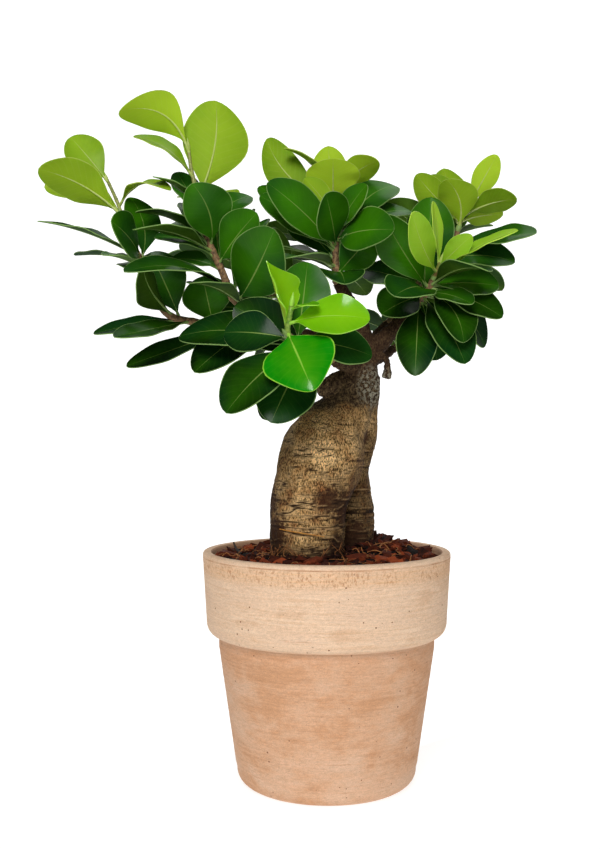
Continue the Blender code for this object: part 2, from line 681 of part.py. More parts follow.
def clearance_tree(rows, clearance):
    """Return a search tree of a blade's two sides, held clear of it by the clearance."""
    points = [point for row in rows for point in row]
    normals = [Vector() for _ in points]
    faces = blade_faces(len(rows))
    for a, b, c in faces:
        normal = (points[b] - points[a]).cross(points[c] - points[a])
        for index in (a, b, c):
            normals[index] += normal
    count = len(points)
    outer = [p + n.normalized() * clearance for p, n in zip(points, normals)]
    inner = [p - n.normalized() * clearance for p, n in zip(points, normals)]
    inner_faces = [(a + count, b + count, c + count) for a, b, c in faces]
    rim = [0, 1, 2] + [3 * row + 2 for row in range(1, len(rows))]
    rim += [count - 2, count - 3] + [3 * row for row in range(len(rows) - 2, 0, -1)]
    sides = []
    for here, there in zip(rim, rim[1:] + rim[:1]):
        sides += [(here, there, there + count), (here, there + count, here + count)]
    return BVHTree.FromPolygons(outer + inner, faces + inner_faces + sides)


def tree_of(item):
    """Return a search tree of an object's mesh, in millimetres."""
    points = [item.matrix_world @ vertex.co / MM for vertex in item.data.vertices]
    return BVHTree.FromPolygons(points, [tuple(face.vertices) for face in item.data.polygons])


def hidden(rows):
    """Tell whether a leaf keeps behind the masses of leaves that show from the front."""
    for row in rows[2:]:
        for point in row:
            across, up = shown_at(point)
            if not any(((across - x) / wide) ** 2 + ((up - z) / high) ** 2 <= 1.0
                       for x, z, wide, high in MASSES):
                return False
    return True


def fixed_trials(leaf, route):
    """Yield the lies that a measured leaf may take: its tip stays where it shows."""
    base, _ = place_on(route, leaf.at)
    across, up, depth = leaf.tip
    for tilt in TILTS:
        for shift in DEPTH_SHIFTS:
            yield leaf_points(leaf, base, seen_at(across, up, depth + shift), tilt)


def whorl_trials(index, stem, route, seeded):
    """Yield the lies that a hidden leaf may take, spread round its stem by the golden angle."""
    count, length, _ = stem.whorl
    share = WHORL_START + (1.0 - WHORL_START) * (index + 0.5) / count
    base, axis = place_on(route, share)
    first = axis.cross(Vector((0.3, 1.0, 0.2))).normalized()
    second = axis.cross(first)
    start = GOLDEN_ANGLE * index + seeded.uniform(-0.2, 0.2)
    full_length = length * seeded.uniform(0.88, 1.1)
    lift = radians(15 + 45 * share)
    face = angles_of(axis + Vector((0.0, -0.2, 0.4)))
    for shrink, turn, rise in product(WHORL_SHRINKS, WHORL_TURNS, WHORL_RISES):
        spread = first * cos(start + turn) + second * sin(start + turn)
        along = spread * cos(lift + rise) + axis * sin(lift + rise)
        along = (along - Vector((0.0, 0.0, WHORL_DROOP))).normalized()
        reach = full_length * shrink
        leaf = Leaf(share, (), reach * WIDTH_TO_LENGTH, face, WHORL_ARCH)
        rows = leaf_points(leaf, base, base + along * reach)
        if hidden(rows):
            yield rows


def angles_of(direction):
    """Return the elevation and the heading of a direction, in degrees."""
    unit = direction.normalized()
    level = Vector((unit.x, -unit.y))
    heading = Vector((0.0, 1.0)).angle_signed(level) if level.length > 0.001 else 0.0
    return 90.0 - unit.angle(Vector((0, 0, 1))) * 180.0 / pi, heading * 180.0 / pi


def first_clear(trials, others, sisters):
    """Return the first lie that crosses no other node, and no blade of its own stem if it can."""
    crossing = None
    for rows in trials:
        tree = clearance_tree(rows, BLADE_CLEARANCE)
        if any(tree.overlap(other) for other in others):
            continue
        blade = clearance_tree(rows[1:], OWN_CLEARANCE)
        if not any(blade.overlap(sister) for sister in sisters):
            return rows, tree, blade
        crossing = crossing or (rows, tree, blade)
    return crossing


def make_blade(rows, collection):
    """Make one leaf as a thin solid, from a grid laid along its rows."""
    bpy.ops.object.select_all(action="DESELECT")
    bpy.ops.mesh.primitive_grid_add(x_subdivisions=2, y_subdivisions=len(rows) - 1, size=1.0)
    item = bpy.context.object
    for holder in item.users_collection:
        holder.objects.unlink(item)
    collection.objects.link(item)
    grid = bmesh.new()
    grid.from_mesh(item.data)
    grid.verts.ensure_lookup_table()
    for vertex, point in zip(grid.verts, [point for row in rows for point in row]):
        vertex.co = point * MM
    bmesh.ops.triangulate(grid, faces=grid.faces, quad_method="FIXED")
    grid.to_mesh(item.data)
    grid.free()
    body = item.modifiers.new("thickness", "SOLIDIFY")
    body.thickness = BLADE_THICKNESS * MM
    body.offset = 0.0
    body.use_even_offset = False
    return settle(item)


def plan_leaves(twigs, obstacles):
    """Find each leaf's lie, in the order of the stems, clear of every other node."""
    trees = {name: [tree_of(twig)] for name, (twig, _) in twigs.items()}
    lies = {}
    for stem in STEMS:
        _, route = twigs[stem.name]
        seeded = random.Random(stem.whorl[2] if stem.whorl else 1)
        trials = [fixed_trials(leaf, route) for leaf in stem.leaves]
        whorl_count = stem.whorl[0] if stem.whorl else 0
        trials += [whorl_trials(index, stem, route, seeded) for index in range(whorl_count)]
        lies[stem.name] = []
        sisters = []
        for options in trials:
            others = list(obstacles)
            for name, group in trees.items():
                if name != stem.name:
                    others += group
            found = first_clear(options, others, sisters)
            if found:
                rows, tree, blade = found
                lies[stem.name].append(rows)
                trees[stem.name].append(tree)
                sisters.append(blade)
            else:
                print("no room for a leaf of", stem.name, trials.index(options))
    return lies


def make_foliage(collection, obstacles, materials):
    """Make every leafy stem: its twig with all its leaves, fused in one solid."""
    twigs = {}
    ends = {name: end_of(points) for name, points in BRANCHES.items()}
    for stem in STEMS:
        route = stem_route(stem, ends)
        ends[stem.name] = end_of(route)
        twig = tube(stem.name, route, TWIG_SIDES, collection)
        twig.name = stem.name
        twigs[stem.name] = (twig, route)
    lies = plan_leaves(twigs, obstacles)
    for stem in STEMS:
        twig = twigs[stem.name][0]
        blades = [make_blade(rows, collection) for rows in lies[stem.name]]
        fuse(twig, blades)
        paint(twig, materials[stem.colour])
        print(stem.name, len(blades), "leaves", len(twig.data.polygons), "faces")


def main():
    """Make the whole plant in its pot."""
    clear_scene()
    materials = {name: make_material(name) for name in COLOURS}
    collection = make_collection("ginseng_ficus")
    pot = make_pot(collection)
    trunk = make_trunk(collection)
    soil = make_soil(collection, trunk)
    paint(pot, materials["terracotta"])
    paint(soil, materials["soil"])
    paint(trunk, materials["bark"])
    make_foliage(collection, [tree_of(pot), tree_of(trunk)], materials)


main()
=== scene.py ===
"""Looks of the ginseng ficus in its terracotta pot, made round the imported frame.

Lengths are in millimetres until a mesh is written, in the frame of the CAD: +X is the viewer's
right, +Y is away from the viewer and +Z is up from the flat face that the pot stands on.
"""

from dataclasses import dataclass, field
from enum import Enum
from itertools import product
import logging
from math import atan2, cos, pi, radians, sin
import random
from typing import Iterator, Optional, Sequence

import bpy
from mathutils import Matrix, Vector, noise
from mathutils.kdtree import KDTree


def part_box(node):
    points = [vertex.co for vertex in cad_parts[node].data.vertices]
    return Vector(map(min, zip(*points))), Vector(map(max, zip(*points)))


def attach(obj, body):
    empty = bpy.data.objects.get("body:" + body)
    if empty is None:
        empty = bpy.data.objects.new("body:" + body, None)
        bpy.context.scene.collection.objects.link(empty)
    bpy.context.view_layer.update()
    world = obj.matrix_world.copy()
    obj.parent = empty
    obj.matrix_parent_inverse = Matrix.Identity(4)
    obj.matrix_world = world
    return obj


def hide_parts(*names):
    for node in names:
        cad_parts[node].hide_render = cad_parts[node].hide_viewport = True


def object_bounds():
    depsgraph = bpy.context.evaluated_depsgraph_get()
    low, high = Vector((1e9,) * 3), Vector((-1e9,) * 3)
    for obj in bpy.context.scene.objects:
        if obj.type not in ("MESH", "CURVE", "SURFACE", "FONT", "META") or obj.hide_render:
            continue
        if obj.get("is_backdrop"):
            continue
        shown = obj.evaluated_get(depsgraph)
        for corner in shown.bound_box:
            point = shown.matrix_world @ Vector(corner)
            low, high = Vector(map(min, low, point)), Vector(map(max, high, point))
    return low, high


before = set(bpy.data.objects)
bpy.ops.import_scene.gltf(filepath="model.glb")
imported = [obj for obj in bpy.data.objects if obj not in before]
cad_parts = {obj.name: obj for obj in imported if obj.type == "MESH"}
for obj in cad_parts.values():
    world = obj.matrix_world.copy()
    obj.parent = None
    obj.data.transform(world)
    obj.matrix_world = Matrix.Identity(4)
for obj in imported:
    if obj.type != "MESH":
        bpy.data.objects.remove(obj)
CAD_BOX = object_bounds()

LOG = logging.getLogger("ginseng_ficus")
MM = 0.001
WELD_DISTANCE = 0.01
SMOOTH_ANGLE = 50

# Photograph: the camera's distance and height, and where the pot's axis falls in the picture.
PHOTO_SIZE = (600, 849)
VIEW_DISTANCE = 539.0
VIEW_HEIGHT = 178.5
VIEW_ACROSS = -13.2
FOCAL_PIXELS = 1078.0
HORIZON_PIXEL = 421.3
SENSOR = 36.0

# Leaf blades as the CAD lays them, which is how each leaf is found again in its node.
BLADE_ROWS = (0.72, 1.0)
PETIOLE_SHARE = 0.12
TIP_SHARE = 0.13
FOLD_SLOPE = 0.22
OUTLINE_LEAN = 1.2
OUTLINE_FULLNESS = 0.68
OUTLINE_SPREAD = 0.52
TILTS = (0, 12, -12, 24)
DEPTH_SHIFTS = (0, -4, 4, -8, 8, -12, 12, -17, 17, -23, 23)
GOLDEN_ANGLE = 2.4
WHORL_START = 0.12
WHORL_DROOP = 0.12
WHORL_ARCH = 0.12
WIDTH_TO_LENGTH = 0.52
WHORL_SHRINKS = (1.0, 0.88, 0.78)
WHORL_TURNS = (0.0, 0.3, -0.3, 0.6, -0.6, 0.9, -0.9, 1.3, -1.3)
WHORL_RISES = (0.0, 0.3, -0.3, 0.55)
TOUCH_GAP = 0.3
STRAIGHT_START = 1.5

# A leaf has lain this way if four of its six marked points are within this much of the node's.
FOUND_WITHIN = 1.9

# The finer blades of this script: where they start on the stalk, and how they are cut.
BLADE_START = 0.09
BLADE_ACROSS = 10
BLADE_ALONG = 18
BLADE_THICKNESS = 0.45
TIP_CROWDING = 1.5

Vec = tuple[float, ...]


class Kind(Enum):
    """What a leafy stem carries, which sets the colours of its leaves and its twig."""

    MATURE = "mature"
    YOUNG = "young"
    BRIGHT = "bright"
    VIVID = "vivid"


@dataclass(frozen=True)
class Leaf:
    """One leaf, as it looks from the front: its foot on the stem, its tip and its upper side.

    at is the share of the stem's length. tip is (across, up, depth). face is the elevation and the
    heading of the upper side's normal in degrees. arch lifts the middle and sway bends it sideways,
    as shares of the length. fold is how steeply its halves rise and blunt is how wide its outer end
    is, both against the usual leaf.
    """

    at: float
    tip: Vec
    width: float
    face: Vec
    arch: float = 0.08
    sway: float = 0.0
    fold: float = 1.0
    blunt: float = 1.0

    def width_at(self, along: float) -> float:
        """Return the width of the blade's outline there, before its ends are rounded."""
        return self.width * (1.0 - (1.0 - self.blunt) * along * along)


@dataclass(frozen=True)
class Stem:
    """One leafy stem: what it grows from, its route from the front, its leaves and its whorl.

    thickness is the radius at its foot and its end, and colour is its slot in the record. Each row
    of leaves holds what Leaf takes, in its order. whorl is a count, a length and a seed.
    """

    name: str
    grows_from: str
    route: tuple[Vec, ...]
    thickness: Vec
    colour: str
    leaves: tuple[tuple, ...] = ()
    whorl: Vec = ()


BRANCHES = {
    # Main stem above the neck, then the branches that the leafy stems carry on from.
    "main": ((17.3, 0, 192, 9.0), (17.4, 0, 203, 8.4), (17.5, 0, 214, 7.0), (16.5, -1, 224, 5.4),
             (12.5, -2, 235, 4.1), (8.5, -4, 242, 3.3), (5.5, -5, 247, 2.6)),
    "right": ((18, 0, 208, 5.4), (24, -1, 215, 4.9), (32, -3, 223, 4.0), (40, -5, 231, 3.0),
              (44, -6, 236, 2.4)),
    "left": ((17, 1, 214, 4.4), (6, 2, 219, 3.8), (-8, 1, 221, 3.3), (-20, -1, 224, 2.6)),
    "far_left": ((-2, 2, 220, 3.0), (-14, 6, 217, 2.9), (-26, 9, 217, 2.6), (-36, 9, 219, 2.4)),
    "front": ((17, -2, 205, 3.8), (9, -14, 206, 3.3), (2, -25, 208, 2.8)),
    "back_left": ((16, 2, 217, 3.8), (10, 14, 224, 3.2), (0, 28, 232, 2.5)),
    "back_right": ((17, 2, 212, 3.8), (24, 14, 220, 3.1), (32, 26, 229, 2.4)),
    "back_middle": ((13, 0, 229, 3.4), (12, 13, 237, 2.9), (9, 25, 246, 2.4)),
    "tall_right": ((33, -3, 224, 3.0), (38, 5, 231, 2.6), (44, 11, 239, 2.3)),
    "back_low": ((14, 5, 208, 3.8), (2, 20, 212, 3.0), (-10, 34, 218, 2.4)),
    "low_right": ((18, 2, 207, 3.8), (27, 13, 211, 3.0), (35, 23, 216, 2.4)),
}

STUBS = (
    # What was left where stems were pruned, at the left shoulder and at the right of the neck.
    ((12, -2, 199, 6.4), (5, -5, 197.5, 5.4), (0, -8, 195, 4.4), (-4.5, -9, 193, 2.8)),
    ((19, -2, 206, 3.0), (26, -3, 210.5, 2.1), (29.6, -3, 209, 1.7), (30.4, -3, 204, 1.9),
     (29.6, -3, 200, 2.9)),
)

ROOTS = (
    # Swollen root at the front left, then the one behind it at the right, then the neck.
    ((-9.5, -8, 84, 13.5), (-9.6, -8, 98, 16.6), (-9.6, -8, 113, 18.0), (-9.2, -8, 128, 18.6),
     (-8.4, -7, 139, 18.8), (-4.6, -6, 154, 20.4), (-0.8, -5, 165, 20.8), (3.2, -4, 174, 17.8),
     (8.0, -3, 181, 13.8), (12, -2, 188, 11.6), (15.5, -1, 198, 10.0)),
    ((12.9, 15, 84, 9.2), (13.2, 15, 100, 11.0), (13.2, 15, 113, 11.5), (13.3, 15, 128, 11.3),
     (13.0, 14, 142, 10.8), (11.8, 13, 152, 10.6), (12.3, 11, 163, 11.9), (14.0, 8, 173, 12.2),
     (15.6, 4.5, 183, 10.6), (17.2, 1.5, 193, 9.3), (17.4, 0, 202, 8.6)),
)

STEMS = (
    Stem("left_stem", "far_left",
         ((-47, 223, 4), (-60, 227, -2), (-77.7, 231, -8), (-85, 240, -11),
          (-90.7, 254, -13), (-97, 268, -14), (-101.5, 279, -14)),
         (2.2, 1.3), "mature_leaf",
         ((0.81, (-144.5, 278.5, -24), 24, (66, 0), 0.05, 0.0, 1.0, 0.45),
          (0.80, (-125.5, 261.5, 8), 16, (75, -20), 0.02),
          (0.74, (-111.5, 261.5, -30), 20, (58, -10), 0.06),
          (0.80, (-107.7, 278.5, -38), 23, (20, 10), 0.06),
          (0.78, (-98, 290.5, -12), 18, (10, 25), 0.05, -0.12),
          (0.42, (-88, 263, -8), 24, (5, 5), 0.05), (0.40, (-116.5, 222.3, -12), 18, (76, 0), 0.02),
          (0.36, (-106, 220.5, -30), 17, (68, 0), 0.0), (0.16, (-100, 206, -4), 18, (62, -10), 0.0),
          (0.24, (-62, 251, -8), 25, (6, 0), 0.04)),
         (4, 40, 31)),
    Stem("left_shoot", "left_stem",
         ((-104.5, 288, -12), (-109.5, 299, -8)),
         (1.1, 0.8), "young_leaf",
         ((0.95, (-128, 320.5, 0), 19, (15, 15), 0.04), (0.10, (-144, 304.7, -26), 23, (40, 180), 0.16),
          (0.06, (-141, 295.5, 8), 15, (38, 180), 0.12, 0.10, 1.0, 1.5),
          (0.30, (-78, 294, -20), 14, (70, 0), 0.21))),
    Stem("upper_left_stem", "left",
         ((-30, 229, -4), (-40, 235, -8), (-47, 240.5, -11), (-52, 253, -13),
          (-57.5, 265, -14), (-61, 274, -14), (-63.5, 286, -13)),
         (2.4, 1.5), "mature_leaf",
         ((0.96, (-86.7, 300.7, -22), 12, (72, 0), 0.10), (0.92, (-75, 303, 0), 14, (55, -20), 0.04),
          (0.74, (-67.2, 297.4, -36), 25, (8, 20), 0.05, -0.10),
          (0.86, (-38.2, 291, 2), 18, (60, 0), 0.10), (0.80, (-72, 287.5, 2), 16, (80, 0), 0.02),
          (0.62, (-34.7, 282.6, -30), 23, (20, -20), 0.06),
          (0.36, (-26, 274.5, -42), 31, (8, -5), 0.06, -0.05),
          (0.66, (-86, 270.5, -20), 19, (60, 0), 0.12), (0.78, (-83, 274.5, -2), 20, (48, 0), 0.12),
          (0.70, (-96, 274.3, -34), 19, (78, 0), 0.08), (0.36, (-101.2, 253.2, -46), 23, (60, 0), 0.13),
          (0.58, (-78, 259, -4), 18, (45, -20), 0.10), (0.30, (-68.5, 247.5, -42), 19, (70, 0), 0.08),
          (0.26, (-28, 249, -26), 21, (35, 20), 0.08), (0.12, (-66, 203, -36), 24, (30, -20), 0.06)),
         (5, 40, 32)),
    Stem("upper_left_shoot", "upper_left_stem",
         ((-66, 297.5, -11), (-68, 307, -10), (-68.8, 314, -9)),
         (1.3, 0.8), "young_leaf",
         ((0.96, (-103.5, 333.6, -22), 22, (36, 180), 0.16, 0.20),
          (0.52, (-96.5, 321, -14), 19, (66, 0), 0.12),
          (0.12, (-55.5, 338.7, -2), 33, (4, 180), -0.04, 0.07))),
    Stem("centre_stem", "main",
         ((5.0, 254, -5.5), (4.6, 262, -6), (4.8, 275, -6)),
         (2.2, 1.5), "mature_leaf",
         ((0.60, (-29.7, 297.6, -30), 25, (25, 35), 0.06),
          (0.66, (-0.4, 292.3, -14), 22, (24, 0), 0.02),
          (0.84, (20.4, 296.8, -14), 20, (25, -55), 0.06),
          (0.76, (33.8, 274, -34), 25, (22, -10), 0.10), (0.66, (42.8, 283, 4), 24, (58, 0), 0.16),
          (0.80, (34.5, 296.0, 16), 22, (45, 0), 0.16), (0.56, (-33.3, 291.2, -12), 20, (40, 20), 0.05),
          (0.64, (-33.8, 295.8, 2), 18, (55, 0), 0.05), (0.40, (-19.2, 283.6, -10), 18, (20, 10), 0.04),
          (0.30, (-22.7, 259.5, -38), 22, (72, 0), 0.06),
          (0.14, (24.5, 272.5, -14), 20, (12, -10), 0.04), (0.12, (9.3, 247, -40), 22, (66, 0), 0.10)),
         (4, 38, 33)),
    Stem("centre_shoot", "centre_stem",
         ((4.0, 283, -2), (2.6, 291, 2), (2.0, 296, 4)),
         (1.3, 0.8), "young_leaf",
         ((0.50, (-29.8, 319.6, 6), 19, (12, 180), -0.10, -0.12),
          (0.70, (-21.2, 315, -8), 13, (80, 0), 0.14), (0.55, (3.3, 309.8, -10), 27, (16, 180), 0.02),
          (0.92, (1.0, 316, 14), 17, (8, 180), 0.02), (0.80, (25.8, 308.8, -4), 15, (36, 180), 0.18),
          (0.25, (-11, 300, -10), 14, (22, 0), 0.04))),
    Stem("right_stem", "right",
         ((47.5, 240, -8), (50.8, 244, -10), (53.2, 249, -11)),
         (2.2, 1.6), "mature_leaf",
         ((0.70, (28.3, 281.6, -30), 23, (20, -40), 0.05),
          (0.40, (27.6, 232, -18), 26, (22, -25), 0.06), (0.60, (34, 241, -44), 25, (32, 0), 0.08),
          (0.55, (68.6, 217.8, -36), 21, (25, 20), 0.10, 0.08),
          (0.45, (79.3, 215.8, -8), 27, (28, 30), 0.10, 0.08),
          (0.15, (44.3, 201.2, -24), 20, (12, -5), 0.06), (0.25, (55.3, 209, -34), 22, (16, 5), 0.06),
          (0.35, (69.3, 207.2, -16), 24, (15, 15), 0.08), (0.20, (72, 209, 2), 16, (25, 50), 0.06),
          (0.80, (86.3, 246, -14), 27, (48, 15), 0.05), (0.72, (88, 230.4, -28), 22, (58, 5), 0.07),
          (0.50, (72.8, 237, -36), 16, (68, 0), 0.06), (0.48, (17.6, 254, 4), 22, (55, 0), 0.10)),
         (2, 38, 41)),
    Stem("right_shoot", "right_stem",
         ((55.0, 253, -13), (57.0, 258, -15)),
         (1.4, 1.0), "young_leaf",
         ((0.45, (42.8, 282.8, -32), 15.5, (12, 15), 0.02, 0.05),
          (0.80, (53.3, 288.5, -18), 10, (5, 50), 0.02), (0.75, (72.8, 271.5, -28), 11, (28, 10), 0.04),
          (0.40, (95.8, 274, -36), 15, (48, 0), 0.04))),
    Stem("tall_right_stem", "tall_right",
         ((50, 248, 14), (58, 259, 17), (63.5, 268, 17), (65.5, 273.5, 16)),
         (2.0, 1.5), "mature_leaf",
         ((0.84, (105, 272.6, -8), 26, (40, 10), 0.0), (0.60, (94.3, 258, 2), 24, (42, 20), 0.10),
          (0.30, (52.3, 290.6, -2), 25, (12, 0), 0.04, 0.0, 1.6),
          (0.70, (30, 288, 26), 22, (40, -160), 0.08), (0.45, (88, 244, 34), 23, (45, 140), 0.10),
          (0.90, (58, 294, 44), 22, (20, 170), 0.08))),
    Stem("tall_right_shoot", "tall_right_stem",
         ((67.5, 279, 15), (71.2, 286.5, 15)),
         (1.3, 0.8), "young_leaf",
         ((0.30, (44.8, 301.8, 10), 16, (8, 180), 0.06), (0.20, (51.5, 301.4, 22), 19, (8, 180), 0.06),
          (0.45, (58.6, 304.8, 28), 21, (5, 180), 0.06),
          (0.10, (60.2, 299.4, 8), 20, (12, 170), 0.04, 0.14),
          (0.96, (85.3, 311.7, 10), 13, (10, 150), 0.02), (0.60, (95.3, 289.6, 8), 17, (40, 180), 0.10),
          (0.35, (88.3, 281.8, 20), 15, (35, 180), 0.08))),
    Stem("front_stem", "front",
         ((-6, 212, -34), (-13, 215.5, -42), (-18.5, 221, -49)),
         (2.3, 1.6), "mature_leaf",
         ((0.92, (-51, 222.8, -62), 22, (24, -15), 0.08),
          (0.70, (-50.2, 182.6, -64), 29, (20, -25), 0.08),
          (0.55, (-27.7, 177.8, -56), 29, (14, 0), 0.06),
          (0.35, (-32.2, 179.8, -36), 20, (10, -10), 0.06),
          (0.50, (-73.6, 220.8, -40), 25, (45, -10), 0.12),
          (0.80, (-9.5, 258, -34), 25, (10, 10), 0.04), (0.85, (22.8, 211, -46), 23, (38, 10), 0.08),
          (0.30, (-46, 236, -18), 24, (20, -10), 0.06))),
    Stem("front_shoot", "front_stem",
         ((-19.4, 226, -52), (-18.2, 232, -53), (-17.6, 236, -53)),
         (1.6, 1.1), "young_leaf",
         ((0.25, (-30.0, 258.7, -60), 46, (8, 62), 0.02, -0.02, 2.1, 0.05),
          (0.92, (-4.2, 236.5, -66), 9, (45, 0), 0.04), (0.45, (21.8, 229.6, -66), 22, (30, 0), 0.10),
          (0.15, (-6.7, 193.6, -74), 38, (24, -5), 0.08, 0.0, 1.0, 0.6))),
    Stem("back_left_stem", "back_left",
         ((-16, 238, 38), (-32, 245, 46), (-44, 256, 50), (-50, 268, 52)),
         (2.3, 1.4), "mature_leaf", whorl=(11, 46, 11)),
    Stem("back_left_shoot", "back_left_stem",
         ((-52, 275, 52), (-53, 281, 51)),
         (1.3, 0.9), "young_leaf", whorl=(4, 30, 12)),
    Stem("back_middle_stem", "back_middle",
         ((5, 252, 36), (1, 263, 43), (-2, 274, 46)),
         (2.2, 1.5), "mature_leaf", whorl=(10, 44, 13)),
    Stem("back_right_stem", "back_right",
         ((36, 233, 36), (44, 243, 44), (48, 255, 48), (49, 264, 49)),
         (2.2, 1.4), "mature_leaf", whorl=(11, 46, 14)),
    Stem("back_right_shoot", "back_right_stem",
         ((49.5, 270, 49), (49.6, 276, 48)),
         (1.3, 0.9), "young_leaf", whorl=(4, 30, 15)),
    Stem("back_low_stem", "back_low",
         ((-22, 221, 42), (-33, 226, 47), (-40, 231, 49)),
         (2.2, 1.5), "mature_leaf", whorl=(8, 42, 16)),
    Stem("low_right_stem", "low_right",
         ((40, 219, 29), (45, 223, 33), (48, 228, 35)),
         (2.2, 1.5), "mature_leaf", whorl=(6, 40, 18)),
)


def srgb(code: str) -> tuple[float, ...]:
    """Turn an sRGB hex colour, such as "#A0522D", to linear red, green, blue and alpha."""
    parts = [int(code[start:start + 2], 16) / 255.0 for start in (1, 3, 5)]
    return (*(part / 12.92 if part <= 0.04045 else ((part + 0.055) / 1.055) ** 2.4
              for part in parts), 1.0)


class Paint:
    """A procedural material in the making, in the piece's own coordinates in metres."""

    def __init__(self, name: str) -> None:
        """Make an empty material.

        Args:
            name: Its name.
        """
        self.material = bpy.data.materials.new(name)
        self.material.use_nodes = True
        self.tree = self.material.node_tree
        self.place = self.add("TexCoord", out="Object")

    def feed(self, socket: bpy.types.NodeSocket, value: object) -> None:
        """Link a socket to another, or set its value.

        Args:
            socket: The input socket.
            value: An output socket, a value, or a colour's hex code.
        """
        if isinstance(value, bpy.types.NodeSocket):
            self.tree.links.new(value, socket)
        else:
            socket.default_value = srgb(value) if isinstance(value, str) else value

    def add(self, kind: str, inputs: dict | Sequence = (), out: str = "",
            **settings: object) -> bpy.types.NodeSocket:
        """Add a node with its settings and links. A Mix node mixes colours unless told else.

        Args:
            kind: The node's type, without "ShaderNode".
            inputs: What its sockets get, in order or by name or number. Only sockets that the
                settings leave in use are counted.
            out: The output's name, or "" for the first one in use.
            **settings: Its properties. stops is a ramp's list of (position, hex colour).

        Returns:
            The output socket.
        """
        node = self.tree.nodes.new("ShaderNode" + kind)
        if kind == "Mix":
            node.data_type = "RGBA"
        for number, (position, code) in enumerate(settings.pop("stops", ())):
            ramp = node.color_ramp.elements
            stop = ramp[number] if number < len(ramp) else ramp.new(1.0)
            stop.position, stop.color = position, srgb(code)
        for key, value in settings.items():
            setattr(node, key, value)
        used = [socket for socket in node.inputs if socket.enabled]
        for key, value in inputs.items() if isinstance(inputs, dict) else enumerate(inputs):
            self.feed(used[key] if isinstance(key, int) else node.inputs[key], value)
        return node.outputs[out] if out else next(
            socket for socket in node.outputs if socket.enabled)

    def finish(self, looks: dict) -> bpy.types.Material:
        """Feed the shader, which ends the material.

        Args:
            looks: What the shader's sockets get, by their names.

        Returns:
            The material.
        """
        for name, value in looks.items():
            self.feed(self.tree.nodes["Principled BSDF"].inputs[name], value)
        return self.material


def clamped(value: float) -> float:
    """Keep a value from 0 to 1."""
    return min(1.0, max(0.0, value))


def seen_at(across: float, up: float, depth: float) -> Vector:
    """Return the point at this depth that shows at (across, up) from the front."""
    reach = 1.0 + depth / VIEW_DISTANCE
    return Vector((VIEW_ACROSS + (across - VIEW_ACROSS) * reach, depth,
                   VIEW_HEIGHT + (up - VIEW_HEIGHT) * reach))


def smooth_route(points: Sequence[Vec], steps: int) -> list[Vec]:
    """Draw a Catmull-Rom curve through points.

    Args:
        points: Points of any number of coordinates.
        steps: How many steps there are between two of them.

    Returns:
        The points along the curve.
    """
    curve = []
    last = len(points) - 1
    for index in range(last):
        before, after = points[max(index - 1, 0)], points[min(index + 2, last)]
        start, end = points[index], points[index + 1]
        for step in range(steps):
            t = step / steps
            curve.append(tuple(
                0.5 * (2 * b + (c - a) * t + (2 * a - 5 * b + 4 * c - d) * t * t
                       + (3 * b - a - 3 * c + d) * t ** 3)
                for a, b, c, d in zip(before, start, end, after)))
    curve.append(tuple(points[last]))
    return curve


def deselect() -> None:
    """Leave edit mode and deselect every object."""
    if bpy.context.object and bpy.context.object.mode != "OBJECT":
        bpy.ops.object.mode_set(mode="OBJECT")
    bpy.ops.object.select_all(action="DESELECT")


def choose(*items: bpy.types.Object) -> bpy.types.Object:
    """Select only these objects, with the first one active.

    Args:
        *items: The objects.

    Returns:
        The first one.
    """
    deselect()
    for item in items:
        item.select_set(True)
    bpy.context.view_layer.objects.active = items[0]
    return items[0]


def joined(name: str, items: Sequence[bpy.types.Object]) -> bpy.types.Object:
    """Join objects into one piece.

    Args:
        name: The piece's name.
        items: The objects; the first one keeps its first material slots.

    Returns:
        The piece.
    """
    whole = choose(*items)
    if len(items) > 1:
        bpy.ops.object.join()
    whole.name = whole.data.name = name
    return whole


def finish_with(item: bpy.types.Object, kind: str, **settings: object) -> None:
    """Add a modifier to an object and apply it.

    Args:
        item: The object.
        kind: The modifier's type.
        **settings: The modifier's properties.
    """
    choose(item)
    modifier = item.modifiers.new(kind.lower(), kind)
    for key, value in settings.items():
        setattr(modifier, key, value)
    bpy.ops.object.modifier_apply(modifier=modifier.name)


def rods(name: str, routes: Sequence[tuple[Sequence[Vec], int]], sides: int,
         materials: Sequence[bpy.types.Material]) -> bpy.types.Object:
    """Make round rods, such as twigs, stalks and strands, as one mesh.

    Args:
        name: The object's name.
        routes: For each rod, its (x, y, z, radius) points and the number of its material.
        sides: How many sides a rod has, an even number of 4 or more.
        materials: The materials that the numbers stand for.

    Returns:
        The mesh object.
    """
    curve = bpy.data.curves.new(name, "CURVE")
    curve.dimensions = "3D"
    curve.bevel_depth = MM
    curve.bevel_resolution = sides // 2 - 2
    curve.use_fill_caps = True
    for material in materials:
        curve.materials.append(material)
    for points, number in routes:
        spline = curve.splines.new("POLY")
        spline.material_index = number
        spline.points.add(len(points) - 1)
        for target, (x, y, z, radius) in zip(spline.points, points):
            target.co = (x * MM, y * MM, z * MM, 1.0)
            target.radius = radius
    item = choose(added(name, curve))
    bpy.ops.object.convert(target="MESH")
    weld(item)
    return item


def added(name: str, data: bpy.types.ID) -> bpy.types.Object:
    """Put a new object in the scene.

    Args:
        name: Its name.
        data: Its mesh, curve, lamp or camera.

    Returns:
        The object.
    """
    item = bpy.data.objects.new(name, data)
    bpy.context.scene.collection.objects.link(item)
    return item


def copy_of(master: bpy.types.Object) -> bpy.types.Object:
    """Put a copy of an object in the scene, with a mesh of its own."""
    return added(master.name, master.data.copy())


def note(item: bpy.types.Object, name: str, values: Sequence[float]) -> None:
    """Write a number at each of a mesh's points, for its material."""
    layer = item.data.attributes.new(name, "FLOAT", "POINT")
    layer.data.foreach_set("value", values)


